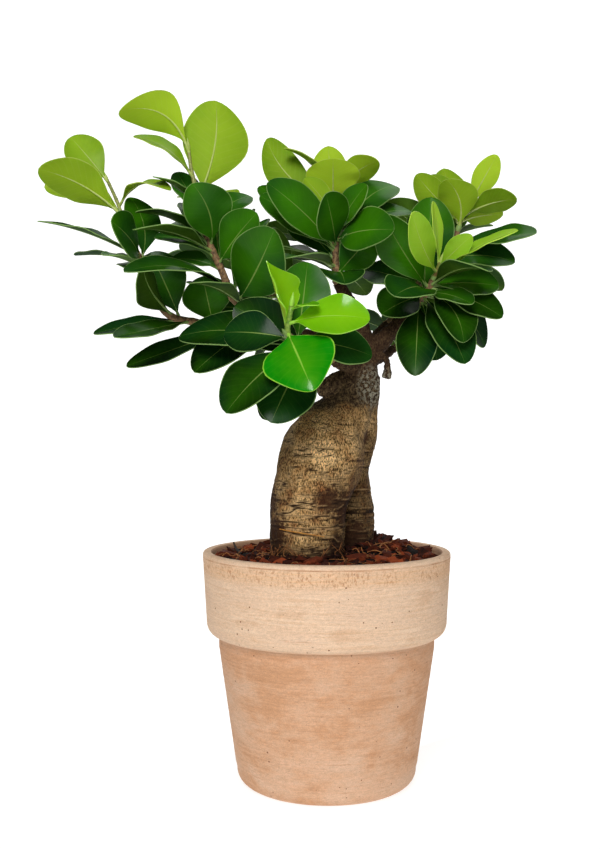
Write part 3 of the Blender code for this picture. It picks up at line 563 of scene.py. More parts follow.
def edit_all(item: bpy.types.Object) -> bpy.types.Object:
    """Open an object in edit mode with all of it selected.

    Args:
        item: The object.

    Returns:
        The same object.
    """
    choose(item)
    bpy.ops.object.mode_set(mode="EDIT")
    bpy.ops.mesh.select_all(action="SELECT")
    return item


def disc(sides: int, radius: float, level: float) -> bpy.types.Object:
    """Draw a disc round the axis, and open it in edit mode.

    Args:
        sides: How many sides it has.
        radius: Its radius, in millimetres.
        level: Its height, in millimetres.

    Returns:
        The disc's object.
    """
    deselect()
    bpy.ops.mesh.primitive_circle_add(vertices=sides, radius=radius * MM, fill_type="NGON",
                                      location=(0, 0, level * MM))
    bpy.ops.object.transform_apply(location=True)
    return edit_all(bpy.context.object)


def weld(item: bpy.types.Object) -> None:
    """Merge a mesh's doubled points and point its faces outwards.

    Args:
        item: The mesh object.
    """
    edit_all(item)
    bpy.ops.mesh.remove_doubles(threshold=WELD_DISTANCE * MM)
    bpy.ops.mesh.normals_make_consistent(inside=False)
    bpy.ops.object.mode_set(mode="OBJECT")


def hand_in(item: bpy.types.Object, slot: str, *nodes: str) -> None:
    """Put a finished piece in the frame, and report it.

    Args:
        item: The piece.
        slot: The record's material slot that it belongs to; not used.
        *nodes: The CAD nodes that it stands for.
    """
    choose(item)
    bpy.ops.object.shade_smooth_by_angle(angle=radians(SMOOTH_ANGLE))
    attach(item, "root")
    if nodes:
        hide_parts(*nodes)
    item.data.calc_loop_triangles()
    LOG.info("%s: %d triangles", item.name, len(item.data.loop_triangles))


class Lie:
    """How one leaf lies: its foot, its tip and the turn of its blade about them."""

    def __init__(self, leaf: Leaf, base: Vector, tip: Vector, tilt: float = 0.0) -> None:
        """Work out the directions along, out of and across the blade.

        Args:
            leaf: The leaf.
            base: Its foot, in millimetres.
            tip: Its tip.
            tilt: How much higher its upper side looks than measured, in degrees.
        """
        self.leaf = leaf
        self.base = base
        self.length = (tip - base).length
        self.along = (tip - base).normalized()
        up = facing(leaf.face[0] + tilt, leaf.face[1])
        self.up = (up - self.along * up.dot(self.along)).normalized()
        self.side = self.up.cross(self.along)

    def place(self, share: float, across: float, half: float, lift: float = 0.0) -> Vector:
        """Return a point of the leaf.

        Args:
            share: How far along the leaf the point is, from 0 to 1.
            across: Where it is across the blade, from -1 to 1.
            half: Half the blade's width there.
            lift: How far it is out of the blade.

        Returns:
            The point, in millimetres.
        """
        leaf, bow = self.leaf, 4.0 * share * (1.0 - share)
        rise = FOLD_SLOPE * leaf.fold * half * (1.0 - 0.5 * share) * abs(across) ** 1.5
        return (self.base + self.along * (self.length * share)
                + self.up * (leaf.arch * self.length * bow + rise + lift)
                + self.side * (leaf.sway * self.length * bow + half * across))

    def marks(self) -> list[Vector]:
        """Find the points that the CAD's blade must have if the leaf lies this way.

        Returns:
            Both edges and the midrib, at two places along the blade.
        """
        points = []
        for share in BLADE_ROWS:
            along = (share - PETIOLE_SHARE) / (1.0 - PETIOLE_SHARE)
            full = max(0.0, sin(pi * along ** OUTLINE_LEAN)) ** OUTLINE_FULLNESS
            width = self.leaf.width_at(along)
            half = max(OUTLINE_SPREAD * width * full, TIP_SHARE * width)
            points += [self.place(share, across, half) for across in (-1.0, 0.0, 1.0)]
        return points


def facing(elevation: float, heading: float) -> Vector:
    """Return the direction of an elevation and a heading in degrees, 0 being to the viewer."""
    up, turn = radians(elevation), radians(heading)
    return Vector((cos(up) * sin(turn), -cos(up) * cos(turn), sin(up)))


def angles_of(direction: Vector) -> tuple[float, float]:
    """Measure a direction.

    Args:
        direction: The direction, of any length.

    Returns:
        Its elevation and its heading, in degrees.
    """
    unit = direction.normalized()
    level = Vector((unit.x, -unit.y))
    heading = Vector((0.0, 1.0)).angle_signed(level) if level.length > 0.001 else 0.0
    return 90.0 - unit.angle(Vector((0, 0, 1))) * 180.0 / pi, heading * 180.0 / pi


def place_on(route: Sequence[Vec], share: float) -> tuple[Vector, Vector]:
    """Find a place on a route.

    Args:
        route: The route's points.
        share: The share of its length.

    Returns:
        The point and the route's direction there.
    """
    points = [Vector(point[:3]) for point in route]
    lengths = [(b - a).length for a, b in zip(points, points[1:])]
    left = share * sum(lengths)
    for start, end, length in zip(points, points[1:], lengths):
        if left <= length:
            return start.lerp(end, left / length), (end - start).normalized()
        left -= length
    return points[-1], (points[-1] - points[-2]).normalized()


def end_of(route: Sequence[Vec]) -> tuple[Vector, Vector]:
    """Return the last point of a route and the direction in which it ends."""
    last, before = Vector(route[-1][:3]), Vector(route[-2][:3])
    return last, (last - before).normalized()


def stem_route(stem: Stem, ends: dict[str, tuple[Vector, Vector]]) -> list[Vec]:
    """Work out a stem's centre line, on from what it grows from.

    Args:
        stem: The stem.
        ends: The end and the direction of every branch and stem before it.

    Returns:
        Its (x, y, z, radius) points.
    """
    foot, along = ends[stem.grows_from]
    points = [tuple(foot + along * TOUCH_GAP), tuple(foot + along * STRAIGHT_START)]
    points += [tuple(seen_at(*place)) for place in stem.route]
    start, end = stem.thickness
    last = len(points) - 1
    return [point + (start + (end - start) * index / last,) for index, point in enumerate(points)]


def fixed_lies(leaf: Leaf, route: Sequence[Vec]) -> Iterator[Lie]:
    """Yield the lies that a measured leaf may have in the CAD.

    Args:
        leaf: The leaf.
        route: Its stem's centre line.

    Yields:
        The lies, the measured one first.
    """
    base, _ = place_on(route, leaf.at)
    across, up, depth = leaf.tip
    for tilt, shift in product(TILTS, DEPTH_SHIFTS):
        yield Lie(leaf, base, seen_at(across, up, depth + shift), tilt)


def whorl_lies(index: int, stem: Stem, route: Sequence[Vec],
               seeded: random.Random) -> Iterator[Lie]:
    """Yield the lies that a leaf placed by rule may have in the CAD.

    Args:
        index: Which leaf of the whorl it is.
        stem: Its stem.
        route: The stem's centre line.
        seeded: The stem's random numbers.

    Yields:
        The lies, round the stem by the golden angle.
    """
    count, length, _ = stem.whorl
    share = WHORL_START + (1.0 - WHORL_START) * (index + 0.5) / count
    base, axis = place_on(route, share)
    first = axis.cross(Vector((0.3, 1.0, 0.2))).normalized()
    second = axis.cross(first)
    start = GOLDEN_ANGLE * index + seeded.uniform(-0.2, 0.2)
    full_length = length * seeded.uniform(0.88, 1.1)
    lift = radians(15 + 45 * share)
    face = angles_of(axis + Vector((0.0, -0.2, 0.4)))
    for shrink, turn, rise in product(WHORL_SHRINKS, WHORL_TURNS, WHORL_RISES):
        spread = first * cos(start + turn) + second * sin(start + turn)
        along = spread * cos(lift + rise) + axis * sin(lift + rise)
        along = (along - Vector((0.0, 0.0, WHORL_DROOP))).normalized()
        reach = full_length * shrink
        leaf = Leaf(share, (), reach * WIDTH_TO_LENGTH, face, WHORL_ARCH)
        yield Lie(leaf, base, base + along * reach)


def lies_in_frame(stem: Stem, route: Sequence[Vec]) -> list[Lie]:
    """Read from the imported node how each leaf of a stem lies.

    Args:
        stem: The stem.
        route: Its centre line.

    Returns:
        One lie for each leaf that the node has.
    """
    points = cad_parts[stem.name].data.vertices
    tree = KDTree(len(points))
    for index, vertex in enumerate(points):
        tree.insert(vertex.co / MM, index)
    tree.balance()
    seeded = random.Random(stem.whorl[2] if stem.whorl else 1)
    whorl_count = stem.whorl[0] if stem.whorl else 0
    trials = [fixed_lies(Leaf(*row), route) for row in stem.leaves]
    trials += [whorl_lies(index, stem, route, seeded) for index in range(whorl_count)]
    found = []
    for options in trials:
        def misfit(lie: Lie) -> float:
            """Return how far the lie's best marks are from the node's points."""
            return sum(sorted(tree.find(mark)[2] for mark in lie.marks())[:4])
        best = min(options, key=misfit)
        if misfit(best) < FOUND_WITHIN:
            found.append(best)
    return found


@dataclass(frozen=True)
class TerracottaFinish:
    """Unglazed terracotta, thrown on a wheel and fired: matte, warm, with turning streaks.

    The eye sees a pale collar with fine level streaks, a warmer band under the lip with small
    upright chatter marks, a more orange body that pales to its foot under a bloom of lime, and a
    few pinholes.
    """

    collar: str = "#EED0B3"
    collar_dark: str = "#DDB795"
    body: str = "#D9A884"
    body_dark: str = "#C69570"
    band: str = "#E3B78D"
    chatter: str = "#AF7349"
    bloom: str = "#DFC0A6"
    cloud: str = "#BE8A60"
    pinhole: str = "#7C4E33"
    damp: str = "#A87A5C"
    mouth_radius_mm: float = 57.6
    streak_mm: float = 1.1
    grain_mm: float = 2.4
    chatter_mm: float = 0.9
    bloom_mm: float = 30.0
    grit_mm: float = 0.5
    streaks_round: float = 38.0
    holes_per_m: float = 260.0
    patches_per_m: float = 90.0

    def build(self, collar_foot: float, band_low: float, band_high: float) -> bpy.types.Material:
        """Make the material.

        Args:
            collar_foot: The height of the collar's lower edge, in mm.
            band_low: The height at which the warmer band starts.
            band_high: The height at which it ends.

        Returns:
            The material.
        """
        paint = Paint("terracotta, wheel thrown")
        add, place = paint.add, paint.place
        height = add("SeparateXYZ", [place], out="Z")
        per_streak, per_grain, per_chatter, per_bloom = (1.0 / (size * MM) for size in (
            self.streak_mm, self.grain_mm, self.chatter_mm, self.bloom_mm))
        streaks, grain, chatter, bloom = (
            add("TexNoise", {"Vector": add("Mapping", {0: place, "Scale": (across, across, up)}),
                             "Scale": 1.0, "Detail": detail, "Roughness": rough,
                             "Distortion": twist})
            for across, up, detail, rough, twist in (
                (self.streaks_round, per_streak, 4.0, 0.65, 0.0),
                (per_grain, 4.0 * per_grain, 4.0, 0.75, 0.0),
                (per_chatter, 0.5 * per_chatter, 1.0, 0.6, 0.0),
                (per_bloom, 2.2 * per_bloom, 6.0, 0.68, 0.3)))
        grit = add("TexNoise", {"Vector": place, "Scale": 1.0 / (self.grit_mm * MM), "Detail": 2.0})
        holes = add("TexVoronoi", {"Vector": place, "Scale": self.holes_per_m, "Randomness": 1.0})
        hole_size = add("TexNoise", {"Vector": place, "Scale": self.patches_per_m})

        fine = add("MapRange", [streaks, 0.3, 0.7])
        is_collar = add("MapRange", [height, (collar_foot - 2.0) * MM, (collar_foot + 1.0) * MM])
        colour = add("Mix", [is_collar, add("Mix", [fine, self.body_dark, self.body]),
                             add("Mix", [fine, self.collar_dark, self.collar])])
        warm = add("MapRange", [bloom, 0.47, 0.36, 0.0, 0.3])
        pale_foot = add("MapRange", [height, 0.0, collar_foot * MM, 0.12, 0.0])
        lime = add("Math", [bloom, pale_foot], operation="ADD")
        limed = add("MapRange", [lime, 0.46, 0.7, 0.0, 0.55])
        above = add("MapRange", [height, (band_low - 1.6) * MM, (band_low + 1.2) * MM])
        below = add("MapRange", [height, (band_high + 2.0) * MM, (band_high - 0.5) * MM])
        in_band = add("Math", [above, below], operation="MULTIPLY")
        tinted = add("Math", [in_band, fine], operation="MULTIPLY")
        marks = add("MapRange", [chatter, 0.52, 0.62, 0.0, 0.6])
        patchy = add("MapRange", [hole_size, 0.38, 0.6, 0.35, 1.0])
        marked = add("Math", [marks, patchy], operation="MULTIPLY")
        chattered = add("Math", [in_band, marked], operation="MULTIPLY")
        edge = add("Math", [height, (band_high + 1.2) * MM, 0.32 * MM], operation="COMPARE")
        patchy_edge = add("Math", [edge, patchy], operation="MULTIPLY")
        lip = add("Math", [patchy_edge, 0.6], operation="MULTIPLY")
        scratches = add("MapRange", [streaks, 0.59, 0.65, 0.0, 0.45])
        worn = add("MapRange", [bloom, 0.5, 0.6])
        scratched = add("Math", [scratches, worn], operation="MULTIPLY")
        flat = add("VectorMath", [place, (1.0, 1.0, 0.0)], operation="MULTIPLY")
        radius = add("VectorMath", [flat], operation="LENGTH")
        within = add("Math", [radius, self.mouth_radius_mm * MM], operation="LESS_THAN")
        high = add("MapRange", [height, (collar_foot + 10.0) * MM, (collar_foot + 12.0) * MM, 0.0, 0.7])
        damp = add("Math", [within, high], operation="MULTIPLY")
        reach = add("MapRange", [hole_size, 0.42, 0.62, 0.0, 0.11])
        hole = add("Math", [holes, reach], operation="LESS_THAN")
        for share, tint in ((warm, self.cloud), (limed, self.bloom), (tinted, self.band),
                            (chattered, self.chatter), (lip, self.chatter),
                            (scratched, self.chatter), (damp, self.damp), (hole, self.pinhole)):
            colour = add("Mix", [share, colour, tint])
        gritty = add("Mix", [0.45, grain, grit], data_type="FLOAT")
        grained = add("MapRange", [gritty, 0.35, 0.65, 0.8, 1.15])
        relief = add("Math", [grain, grit], operation="ADD")
        cut = add("Math", [relief, chattered], operation="SUBTRACT")
        return paint.finish({
            "Base Color": add("Mix", [1.0, colour, grained], blend_type="MULTIPLY"),
            "Normal": add("Bump", {"Height": cut, "Strength": 0.22, "Distance": 0.25 * MM}),
            "Roughness": 0.86, "Specular IOR Level": 0.2})


@dataclass(frozen=True)
class LoamFinish:
    """Moist potting mix of composted bark and coir: nearly black brown, crumbly and matte."""

    name: str
    dark: str
    mid: str
    light: str
    crumb_mm: float = 2.2

    def build(self) -> bpy.types.Material:
        """Make the material.

        Returns:
            The material.
        """
        paint = Paint(self.name)
        add = paint.add
        crumb = add("TexNoise", {"Vector": paint.place, "Scale": 1.0 / (self.crumb_mm * MM),
                                 "Detail": 5.0, "Roughness": 0.7})
        tone = add("Attribute", out="Fac", attribute_name="tone")
        blend = add("Math", [crumb, 0.5, tone], operation="MULTIPLY_ADD")
        return paint.finish({
            "Base Color": add("ValToRGB", [blend], stops=[(0.2, self.dark), (0.55, self.mid),
                                                          (1.0, self.light)]),
            "Normal": add("Bump", {"Height": crumb, "Strength": 0.6, "Distance": 0.5 * MM}),
            "Roughness": 0.9, "Specular IOR Level": 0.2})


@dataclass(frozen=True)
class BarkFinish:
    """Fig bark: tan on the swollen roots, with short upright fibres between level creases painted dark as
    shade.

    Each crease has a paler lip. The root behind is finely wrinkled, and it and the bark that faces left or
    right are darkened as painted shade. Old scars and the foot are dark brown, and patches of the same
    brown paint the shade in the cleft between the roots. The neck where the top was grafted is nearly
    black with pale flecks and some lichen.
    """

    pale: str = "#E6BE84"
    tan: str = "#84532D"
    grey: str = "#B8925E"
    lip: str = "#D6B07C"
    # Painted shade: the dark colour of the wrinkles' lines and of the creases' bottoms.
    crease_shade: str = "#2A1B0F"
    # Dark brown of the old scars, and painted shade in the cleft between the roots.
    scar_and_cleft_shade: str = "#371D10"
    foot: str = "#2A180D"
    neck: str = "#2C1D14"
    neck_light: str = "#A08660"
    branch: str = "#2F1A11"
    lichen: str = "#A9A693"
    fibre_mm: float = 0.62
    wrinkle_mm: float = 6.0

    def build(self, neck_z: float, soil_z: float) -> bpy.types.Material:
        """Make the material.

        Args:
            neck_z: The height at which the dark neck starts, in mm.
            soil_z: The height of the soil.

        Returns:
            The material.
        """
        paint = Paint("fig bark")
        add, place = paint.add, paint.place
        level = add("SeparateXYZ", [place], out="Z")
        crease, worn, behind, mossy = (add("Attribute", out="Fac", attribute_name=name)
                                       for name in ("crease", "scar_and_cleft_shade", "behind", "lichen"))
        per_fibre, per_wrinkle = 1.0 / (self.fibre_mm * MM), 1.0 / (self.wrinkle_mm * MM)
        fibres, wrinkles, patches, flecks = (
            add("TexNoise", {"Vector": add("Mapping", {0: place, "Scale": (across, across, up)}),
                             "Scale": 1.0, "Detail": detail, "Roughness": rough,
                             "Distortion": twist})
            for across, up, detail, rough, twist in (
                (per_fibre, 0.45 * per_fibre, 4.0, 0.7, 0.0),
                (0.12 * per_wrinkle, per_wrinkle, 3.0, 0.55, 0.4),
                (95.0, 95.0, 5.0, 0.65, 0.0), (620.0, 620.0, 4.0, 0.7, 0.0)))

        lower = add("MapRange", [level, (soil_z + 20.0) * MM, (soil_z + 55.0) * MM, 0.07, -0.04])
        paler = add("Math", [patches, lower], operation="SUBTRACT")
        skin = add("ValToRGB", [paler], stops=[(0.3, self.tan), (0.5, self.grey), (0.66, self.pale)])
        grain = add("MapRange", [fibres, 0.42, 0.58, 0.16, 1.5])
        colour = add("Mix", [1.0, skin, grain], blend_type="MULTIPLY")
        cracky = add("Math", [patches, lower], operation="ADD")
        broken = add("MapRange", [cracky, 0.45, 0.56])
        offset = add("Math", [wrinkles, 0.12], operation="PINGPONG")
        rise = add("MapRange", [offset, 0.055, 0.026, 0.0, 0.55])
        ring = add("MapRange", [offset, 0.005, 0.024, 0.95, 0.0])
        # Painted shade along the dark lines of the wrinkles; the paler lips are bark.
        for form, tint in ((rise, self.lip), (ring, self.crease_shade)):
            share = add("Math", [form, broken], operation="MULTIPLY")
            colour = add("Mix", [share, colour, tint])
        # Painted shade: the behind attribute darkens the root behind and the bark facing left or right.
        painted_shade = add("MapRange", {0: behind, 3: 1.0, 4: 0.42})
        colour = add("Mix", [1.0, colour, painted_shade], blend_type="MULTIPLY")
        # Dark patches: old scars, and painted shade in the cleft between the roots.
        mottle = add("Mix", [0.5, patches, flecks], data_type="FLOAT")
        torn = add("Math", [mottle, 2.2, worn], operation="MULTIPLY_ADD")
        scarred_and_shaded = add("MapRange", [torn, 1.35, 1.6, 0.0, 0.88])
        ragged = add("Math", [patches, 22.0 * MM, level], operation="MULTIPLY_ADD")
        shaggy = add("Mix", [0.45, fibres, flecks], data_type="FLOAT")
        rough = add("ValToRGB", [shaggy], stops=[(0.46, self.neck), (0.69, self.neck_light)])
        branching = add("MapRange", [level, (neck_z + 12.0) * MM, (neck_z + 26.0) * MM, 0.0, 0.8])
        darker = add("Mix", [branching, rough, self.branch])
        is_neck = add("MapRange", [ragged, (neck_z + 8.0) * MM, (neck_z + 14.0) * MM, 0.0, 0.96])
        # Painted shade in the bottom of each crease.
        painted_crease_shade = add("MapRange", [crease, 0.1, 0.5, 0.0, 0.95])
        raised = add("MapRange", [crease, -0.15, -0.75, 0.0, 0.6])
        grown = add("MapRange", [flecks, 0.48, 0.56])
        held = add("MapRange", [mossy, 0.0, 0.5, 0.0, 0.75])
        crust = add("Math", [grown, held], operation="MULTIPLY")
        is_foot = add("MapRange", [ragged, (soil_z + 23.0) * MM, (soil_z + 14.0) * MM, 0.0, 0.85])
        for share, tint in ((scarred_and_shaded, self.scar_and_cleft_shade), (is_neck, darker), (painted_crease_shade, self.crease_shade),
                            (raised, self.lip), (crust, self.lichen), (is_foot, self.foot)):
            colour = add("Mix", [share, colour, tint])
        height = add("Math", [wrinkles, 1.2, fibres], operation="MULTIPLY_ADD")
        return paint.finish({
            "Base Color": colour, "Roughness": 0.8, "Specular IOR Level": 0.15,
            "Normal": add("Bump", {"Height": height, "Strength": 0.9, "Distance": 0.75 * MM})})


@dataclass(frozen=True)
class TwigFinish:
    """Thin bark of a fig's twig, with pale dots where air passes, or the skin of a soft shoot."""

    name: str
    dark: str
    light: str
    roughness: float

    def build(self) -> bpy.types.Material:
        """Make the material.

        Returns:
            The material.
        """
        paint = Paint(self.name)
        mottle = paint.add("TexNoise", {"Vector": paint.place, "Scale": 620.0, "Detail": 4.0,
                                        "Roughness": 0.7})
        return paint.finish({
            "Base Color": paint.add("ValToRGB", [mottle],
                                    stops=[(0.36, self.dark), (0.62, self.light)]),
            "Normal": paint.add("Bump", {"Height": mottle, "Strength": 0.4, "Distance": 0.3 * MM}),
            "Roughness": self.roughness})


@dataclass(frozen=True)
class LeafFinish:
    """Fig leaf: a waxy, glossy blade with a pale midrib, faint side veins and a thin margin.

    Each leaf has its own tone. The underside is duller and more olive, with the veins paler. The
    blade bulges a little between its side veins.
    """

    name: str
    upper_dark: str
    upper_light: str
    under_dark: str
    under_light: str
    rib: str
    margin: str
    vein_share: float
    roughness: float
    wax: float
    glow: float
    cool: float = 0.0
    cool_tint: str = "#06351A"
    side_veins: float = 12.0

    def build(self, underside: bool) -> bpy.types.Material:
        """Make the material of one side of the blades.

        Args:
            underside: Whether it is the lower side.

        Returns:
            The material.
        """
        side = "underside" if underside else "upper side"
        paint = Paint(f"{self.name}, {side}")
        add, place = paint.add, paint.place
        dark = self.under_dark if underside else self.upper_dark
        light = self.under_light if underside else self.upper_light
        blade = add("UVMap", uv_map="UVMap")
        over = add("SeparateXYZ", [blade], out="X")
        along = add("SeparateXYZ", [blade], out="Y")
        across = add("Math", [over, 2.0, -1.0], operation="MULTIPLY_ADD")
        out = add("Math", [across], operation="ABSOLUTE")
        rib_width = add("MapRange", [along, 0.0, 1.0, 0.06, 0.01])
        rib_part = add("Math", [out, rib_width], operation="DIVIDE")
        rib = add("MapRange", [rib_part, 1.0, 0.3, 0.0, 0.8])
        fading = add("MapRange", [along, 0.25, 1.0, 1.0, 0.4])
        rib_share = add("Math", [rib, fading], operation="MULTIPLY")
        slant = add("Math", [out, 2.6], operation="MULTIPLY")
        run = add("Math", [along, self.side_veins], operation="MULTIPLY")
        phase = add("Math", [run, slant], operation="SUBTRACT")
        wave = add("Math", [phase, 0.5], operation="PINGPONG")
        veins = self.vein_share * (2.0 if underside else 1.0)
        side_vein = add("MapRange", [wave, 0.38, 0.5, 0.0, veins])
        lines = add("Math", [rib_share, side_vein], operation="MAXIMUM")
        mottle = add("TexNoise", {"Vector": place, "Scale": 150.0, "Detail": 4.0, "Roughness": 0.5})
        tone = add("Attribute", out="Fac", attribute_name="tone")
        share = add("Math", [mottle, 0.22, tone], operation="MULTIPLY_ADD")
        inner = add("MapRange", [out, 0.0, 1.0, 0.12, -0.1])
        toned = add("Math", [share, inner], operation="ADD")
        colour = add("ValToRGB", [toned], stops=[(0.1, dark), (1.0, light)])
        drift = add("TexNoise", {"Vector": place, "Scale": 32.0, "Detail": 1.0})
        cooler = add("MapRange", [drift, 0.42, 0.62, 0.0, self.cool])
        edge = add("MapRange", [out, 0.96, 0.988, 0.0, 0.85])
        for share, tint in ((cooler, self.cool_tint), (lines, self.rib), (edge, self.margin)):
            colour = add("Mix", [share, colour, tint])
        bulge = add("Math", [wave, -0.15, mottle], operation="MULTIPLY_ADD")
        relief = add("Math", [rib, -0.8, bulge], operation="MULTIPLY_ADD")
        return paint.finish({
            "Base Color": colour, "Roughness": 0.6, "Specular IOR Level": 0.0,
            "Normal": add("Bump", {"Height": relief, "Strength": 0.45, "Distance": 0.5 * MM},
                          invert=underside),
            "Coat Weight": self.wax * (0.5 if underside else 1.0),
            "Coat Roughness": self.roughness + (0.2 if underside else 0.0),
            "Subsurface Weight": self.glow, "Subsurface Radius": (0.5, 1.0, 0.15),
            "Subsurface Scale": 0.8 * MM})


FINISHES = {
    Kind.MATURE: LeafFinish("mature fig leaf", "#081D04", "#408609", "#16300A", "#5C8424",
                            "#93AE58", "#86A85E", 0.02, 0.22, 0.24, 0.03, 0.55),
    Kind.YOUNG: LeafFinish("young fig leaf", "#658E12", "#A8CC2E", "#6E9414", "#A8C82C",
                           "#C0CE78", "#AFC450", 0.03, 0.34, 0.30, 0.20),
    Kind.BRIGHT: LeafFinish("bright young fig leaf", "#78B41A", "#B2DA3A", "#88B826", "#B6DA46",
                            "#CCE07C", "#BEE054", 0.05, 0.32, 0.35, 0.20),
    Kind.VIVID: LeafFinish("newest fig leaf", "#108A04", "#8CCC12", "#6C9C18", "#A4C832",
                           "#A8DC50", "#A6E048", 0.03, 0.13, 0.70, 0.20),
}
TWIGS = {
    Kind.MATURE: TwigFinish("fig twig bark", "#4A3220", "#A88458", 0.7),
    Kind.YOUNG: TwigFinish("soft fig shoot", "#6F7D2F", "#A5A65A", 0.45),
    Kind.BRIGHT: TwigFinish("soft fig shoot, ripening", "#7C5E36", "#98A048", 0.5),
    Kind.VIVID: TwigFinish("soft fig shoot, newest", "#62902A", "#98B444", 0.42),
}
KINDS = {"right_shoot": Kind.BRIGHT, "front_shoot": Kind.VIVID}
TONES = {
    # How far along its finish's colours each measured leaf is, where it stands out. The tones follow how
    # light or dark each leaf shows, so they are partly painted light and shade.
    "front_shoot": (0.90, 0.38, 0.62, 0.04),
    "front_stem": (0.10, 0.15, 0.18, 0.05, 0.12, 0.70, 0.34, 0.10),
    "left_stem": (0.22, 0.12, 0.62, 0.58, 0.50),
    "left_shoot": (0.34, 0.42, 0.55, 0.30),
    "upper_left_shoot": (0.95, 0.20, 0.38),
    "centre_shoot": (0.10, 0.35, 0.90, 0.85, 0.75, 0.45),
    "tall_right_shoot": (0.30, 0.20, 0.25, 0.40, 0.95, 0.12, 0.35),
}


@dataclass
class Pot:
    """The pot, thrown in one piece: a foot, a tapered body, a wide collar and the inside."""

    foot_radius: float = 37.5
    foot_round: float = 7.0
    body_foot_radius: float = 44.7
    body_top_radius: float = 53.5
    body_top_z: float = 67.0
    collar_foot_z: float = 79.3
    collar_foot_radius: float = 59.6
    collar_round: float = 6.0
    wall: float = 4.4
    lip: float = 1.4
    floor_z: float = 8.0
    steps: int = 144
    station: float = 1.5
    groove: float = 0.10
    band_drop: float = 3.5
    band_width: float = 6.0

    def __post_init__(self) -> None:
        """Read the rim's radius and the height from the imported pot."""
        low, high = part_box("pot")
        self.rim_radius = (high.x - low.x) / 2.0 / MM
        self.height = high.z / MM

    def wall_inside(self, height: float) -> float:
        """Return the radius of the inner wall at a height."""
        slope = (self.rim_radius - self.body_foot_radius) / (self.height - self.foot_round)
        return self.rim_radius - TOUCH_GAP - self.wall - slope * (self.height - height)

    def arc(self, centre: Vec, radius: float, start: float, end: float, count: int) -> list[Vec]:
        """Draw an arc of the profile.

        Args:
            centre: Its middle's (radius, height).
            radius: Its radius.
            start: Where it starts, in degrees from outwards.
            end: Where it ends.
            count: How many steps it has.

        Returns:
            Its (radius, height) points.
        """
        angles = [radians(start + (end - start) * step / count) for step in range(count + 1)]
        return [(centre[0] + radius * cos(angle), centre[1] + radius * sin(angle))
                for angle in angles]

    def outline(self) -> list[Vec]:
        """Draw the pot's profile.

        Returns:
            Its (radius, height) points, from the foot up and down the inside.
        """
        collar_centre = (self.collar_foot_radius - self.collar_round, self.collar_foot_z)
        points = self.arc((self.foot_radius, self.foot_round), self.foot_round, -90, 5, 8)
        points += [(self.body_foot_radius + 0.6, self.foot_round + 4.0),
                   (self.body_top_radius, self.body_top_z),
                   (self.body_top_radius + 0.1, self.collar_foot_z - self.collar_round - 0.6)]
        points += self.arc(collar_centre, self.collar_round, -90, 0, 8)
        points += self.arc((self.rim_radius - self.lip, self.height - self.lip), self.lip, 0, 90, 4)
        inner_lip = (self.wall_inside(self.height) + self.lip, self.height - self.lip)
        points += self.arc(inner_lip, self.lip, 100, 180, 4)
        points += [(self.wall_inside(self.floor_z + 5.0), self.floor_z + 5.0),
                   (self.wall_inside(self.floor_z) - 5.0, self.floor_z)]
        return points

    def stations(self) -> list[Vec]:
        """Cut the profile's long straight runs at the spacing of the stations.

        Returns:
            The (radius, height) points.
        """
        outline = self.outline()
        cut = []
        for (r0, z0), (r1, z1) in zip(outline, outline[1:]):
            count = max(1, round(((r1 - r0) ** 2 + (z1 - z0) ** 2) ** 0.5 / self.station))
            cut += [(r0 + (r1 - r0) * step / count, z0 + (z1 - z0) * step / count)
                    for step in range(count)]
        return cut + [outline[-1]]

    def throw(self) -> bpy.types.Object:
        """Raise the wall from the foot's disc, one station after another, like a potter.

        Returns:
            The pot's mesh object.
        """
        stations = self.stations()
        radius, level = stations[0]
        pot = disc(self.steps, radius, level)
        for next_radius, next_level in stations[1:]:
            bpy.ops.mesh.extrude_region_move(
                TRANSFORM_OT_translate={"value": (0, 0, (next_level - level) * MM)})
            scale = next_radius / radius
            bpy.ops.transform.resize(value=(scale, scale, 1.0),
                                     center_override=(0, 0, next_level * MM))
            radius, level = next_radius, next_level
        weld(pot)
        return pot

    def turn_marks(self, pot: bpy.types.Object) -> None:
        """Press the wheel's shallow rings into the outside.

        Args:
            pot: The pot's mesh object.
        """
        for vertex in pot.data.vertices:
            radius = (vertex.co.x ** 2 + vertex.co.y ** 2) ** 0.5 / MM
            level = vertex.co.z / MM
            if radius > self.wall_inside(level) + 0.5 * self.wall:
                ring = noise.noise(Vector((0.0, 0.0, level * 0.42)))
                sway = 0.3 * noise.noise(vertex.co / MM * 0.02)
                factor = 1.0 + self.groove * (ring + sway - 0.4) / radius
                vertex.co.x *= factor
                vertex.co.y *= factor

    def build(self) -> None:
        """Make the pot and dress it."""
        pot = joined("terracotta_pot", [self.throw()])
        self.turn_marks(pot)
        band_top = self.height - self.band_drop
        pot.data.materials.append(TerracottaFinish().build(self.collar_foot_z - self.collar_round,
                                                           band_top - self.band_width, band_top))
        hand_in(pot, "terracotta", "pot")


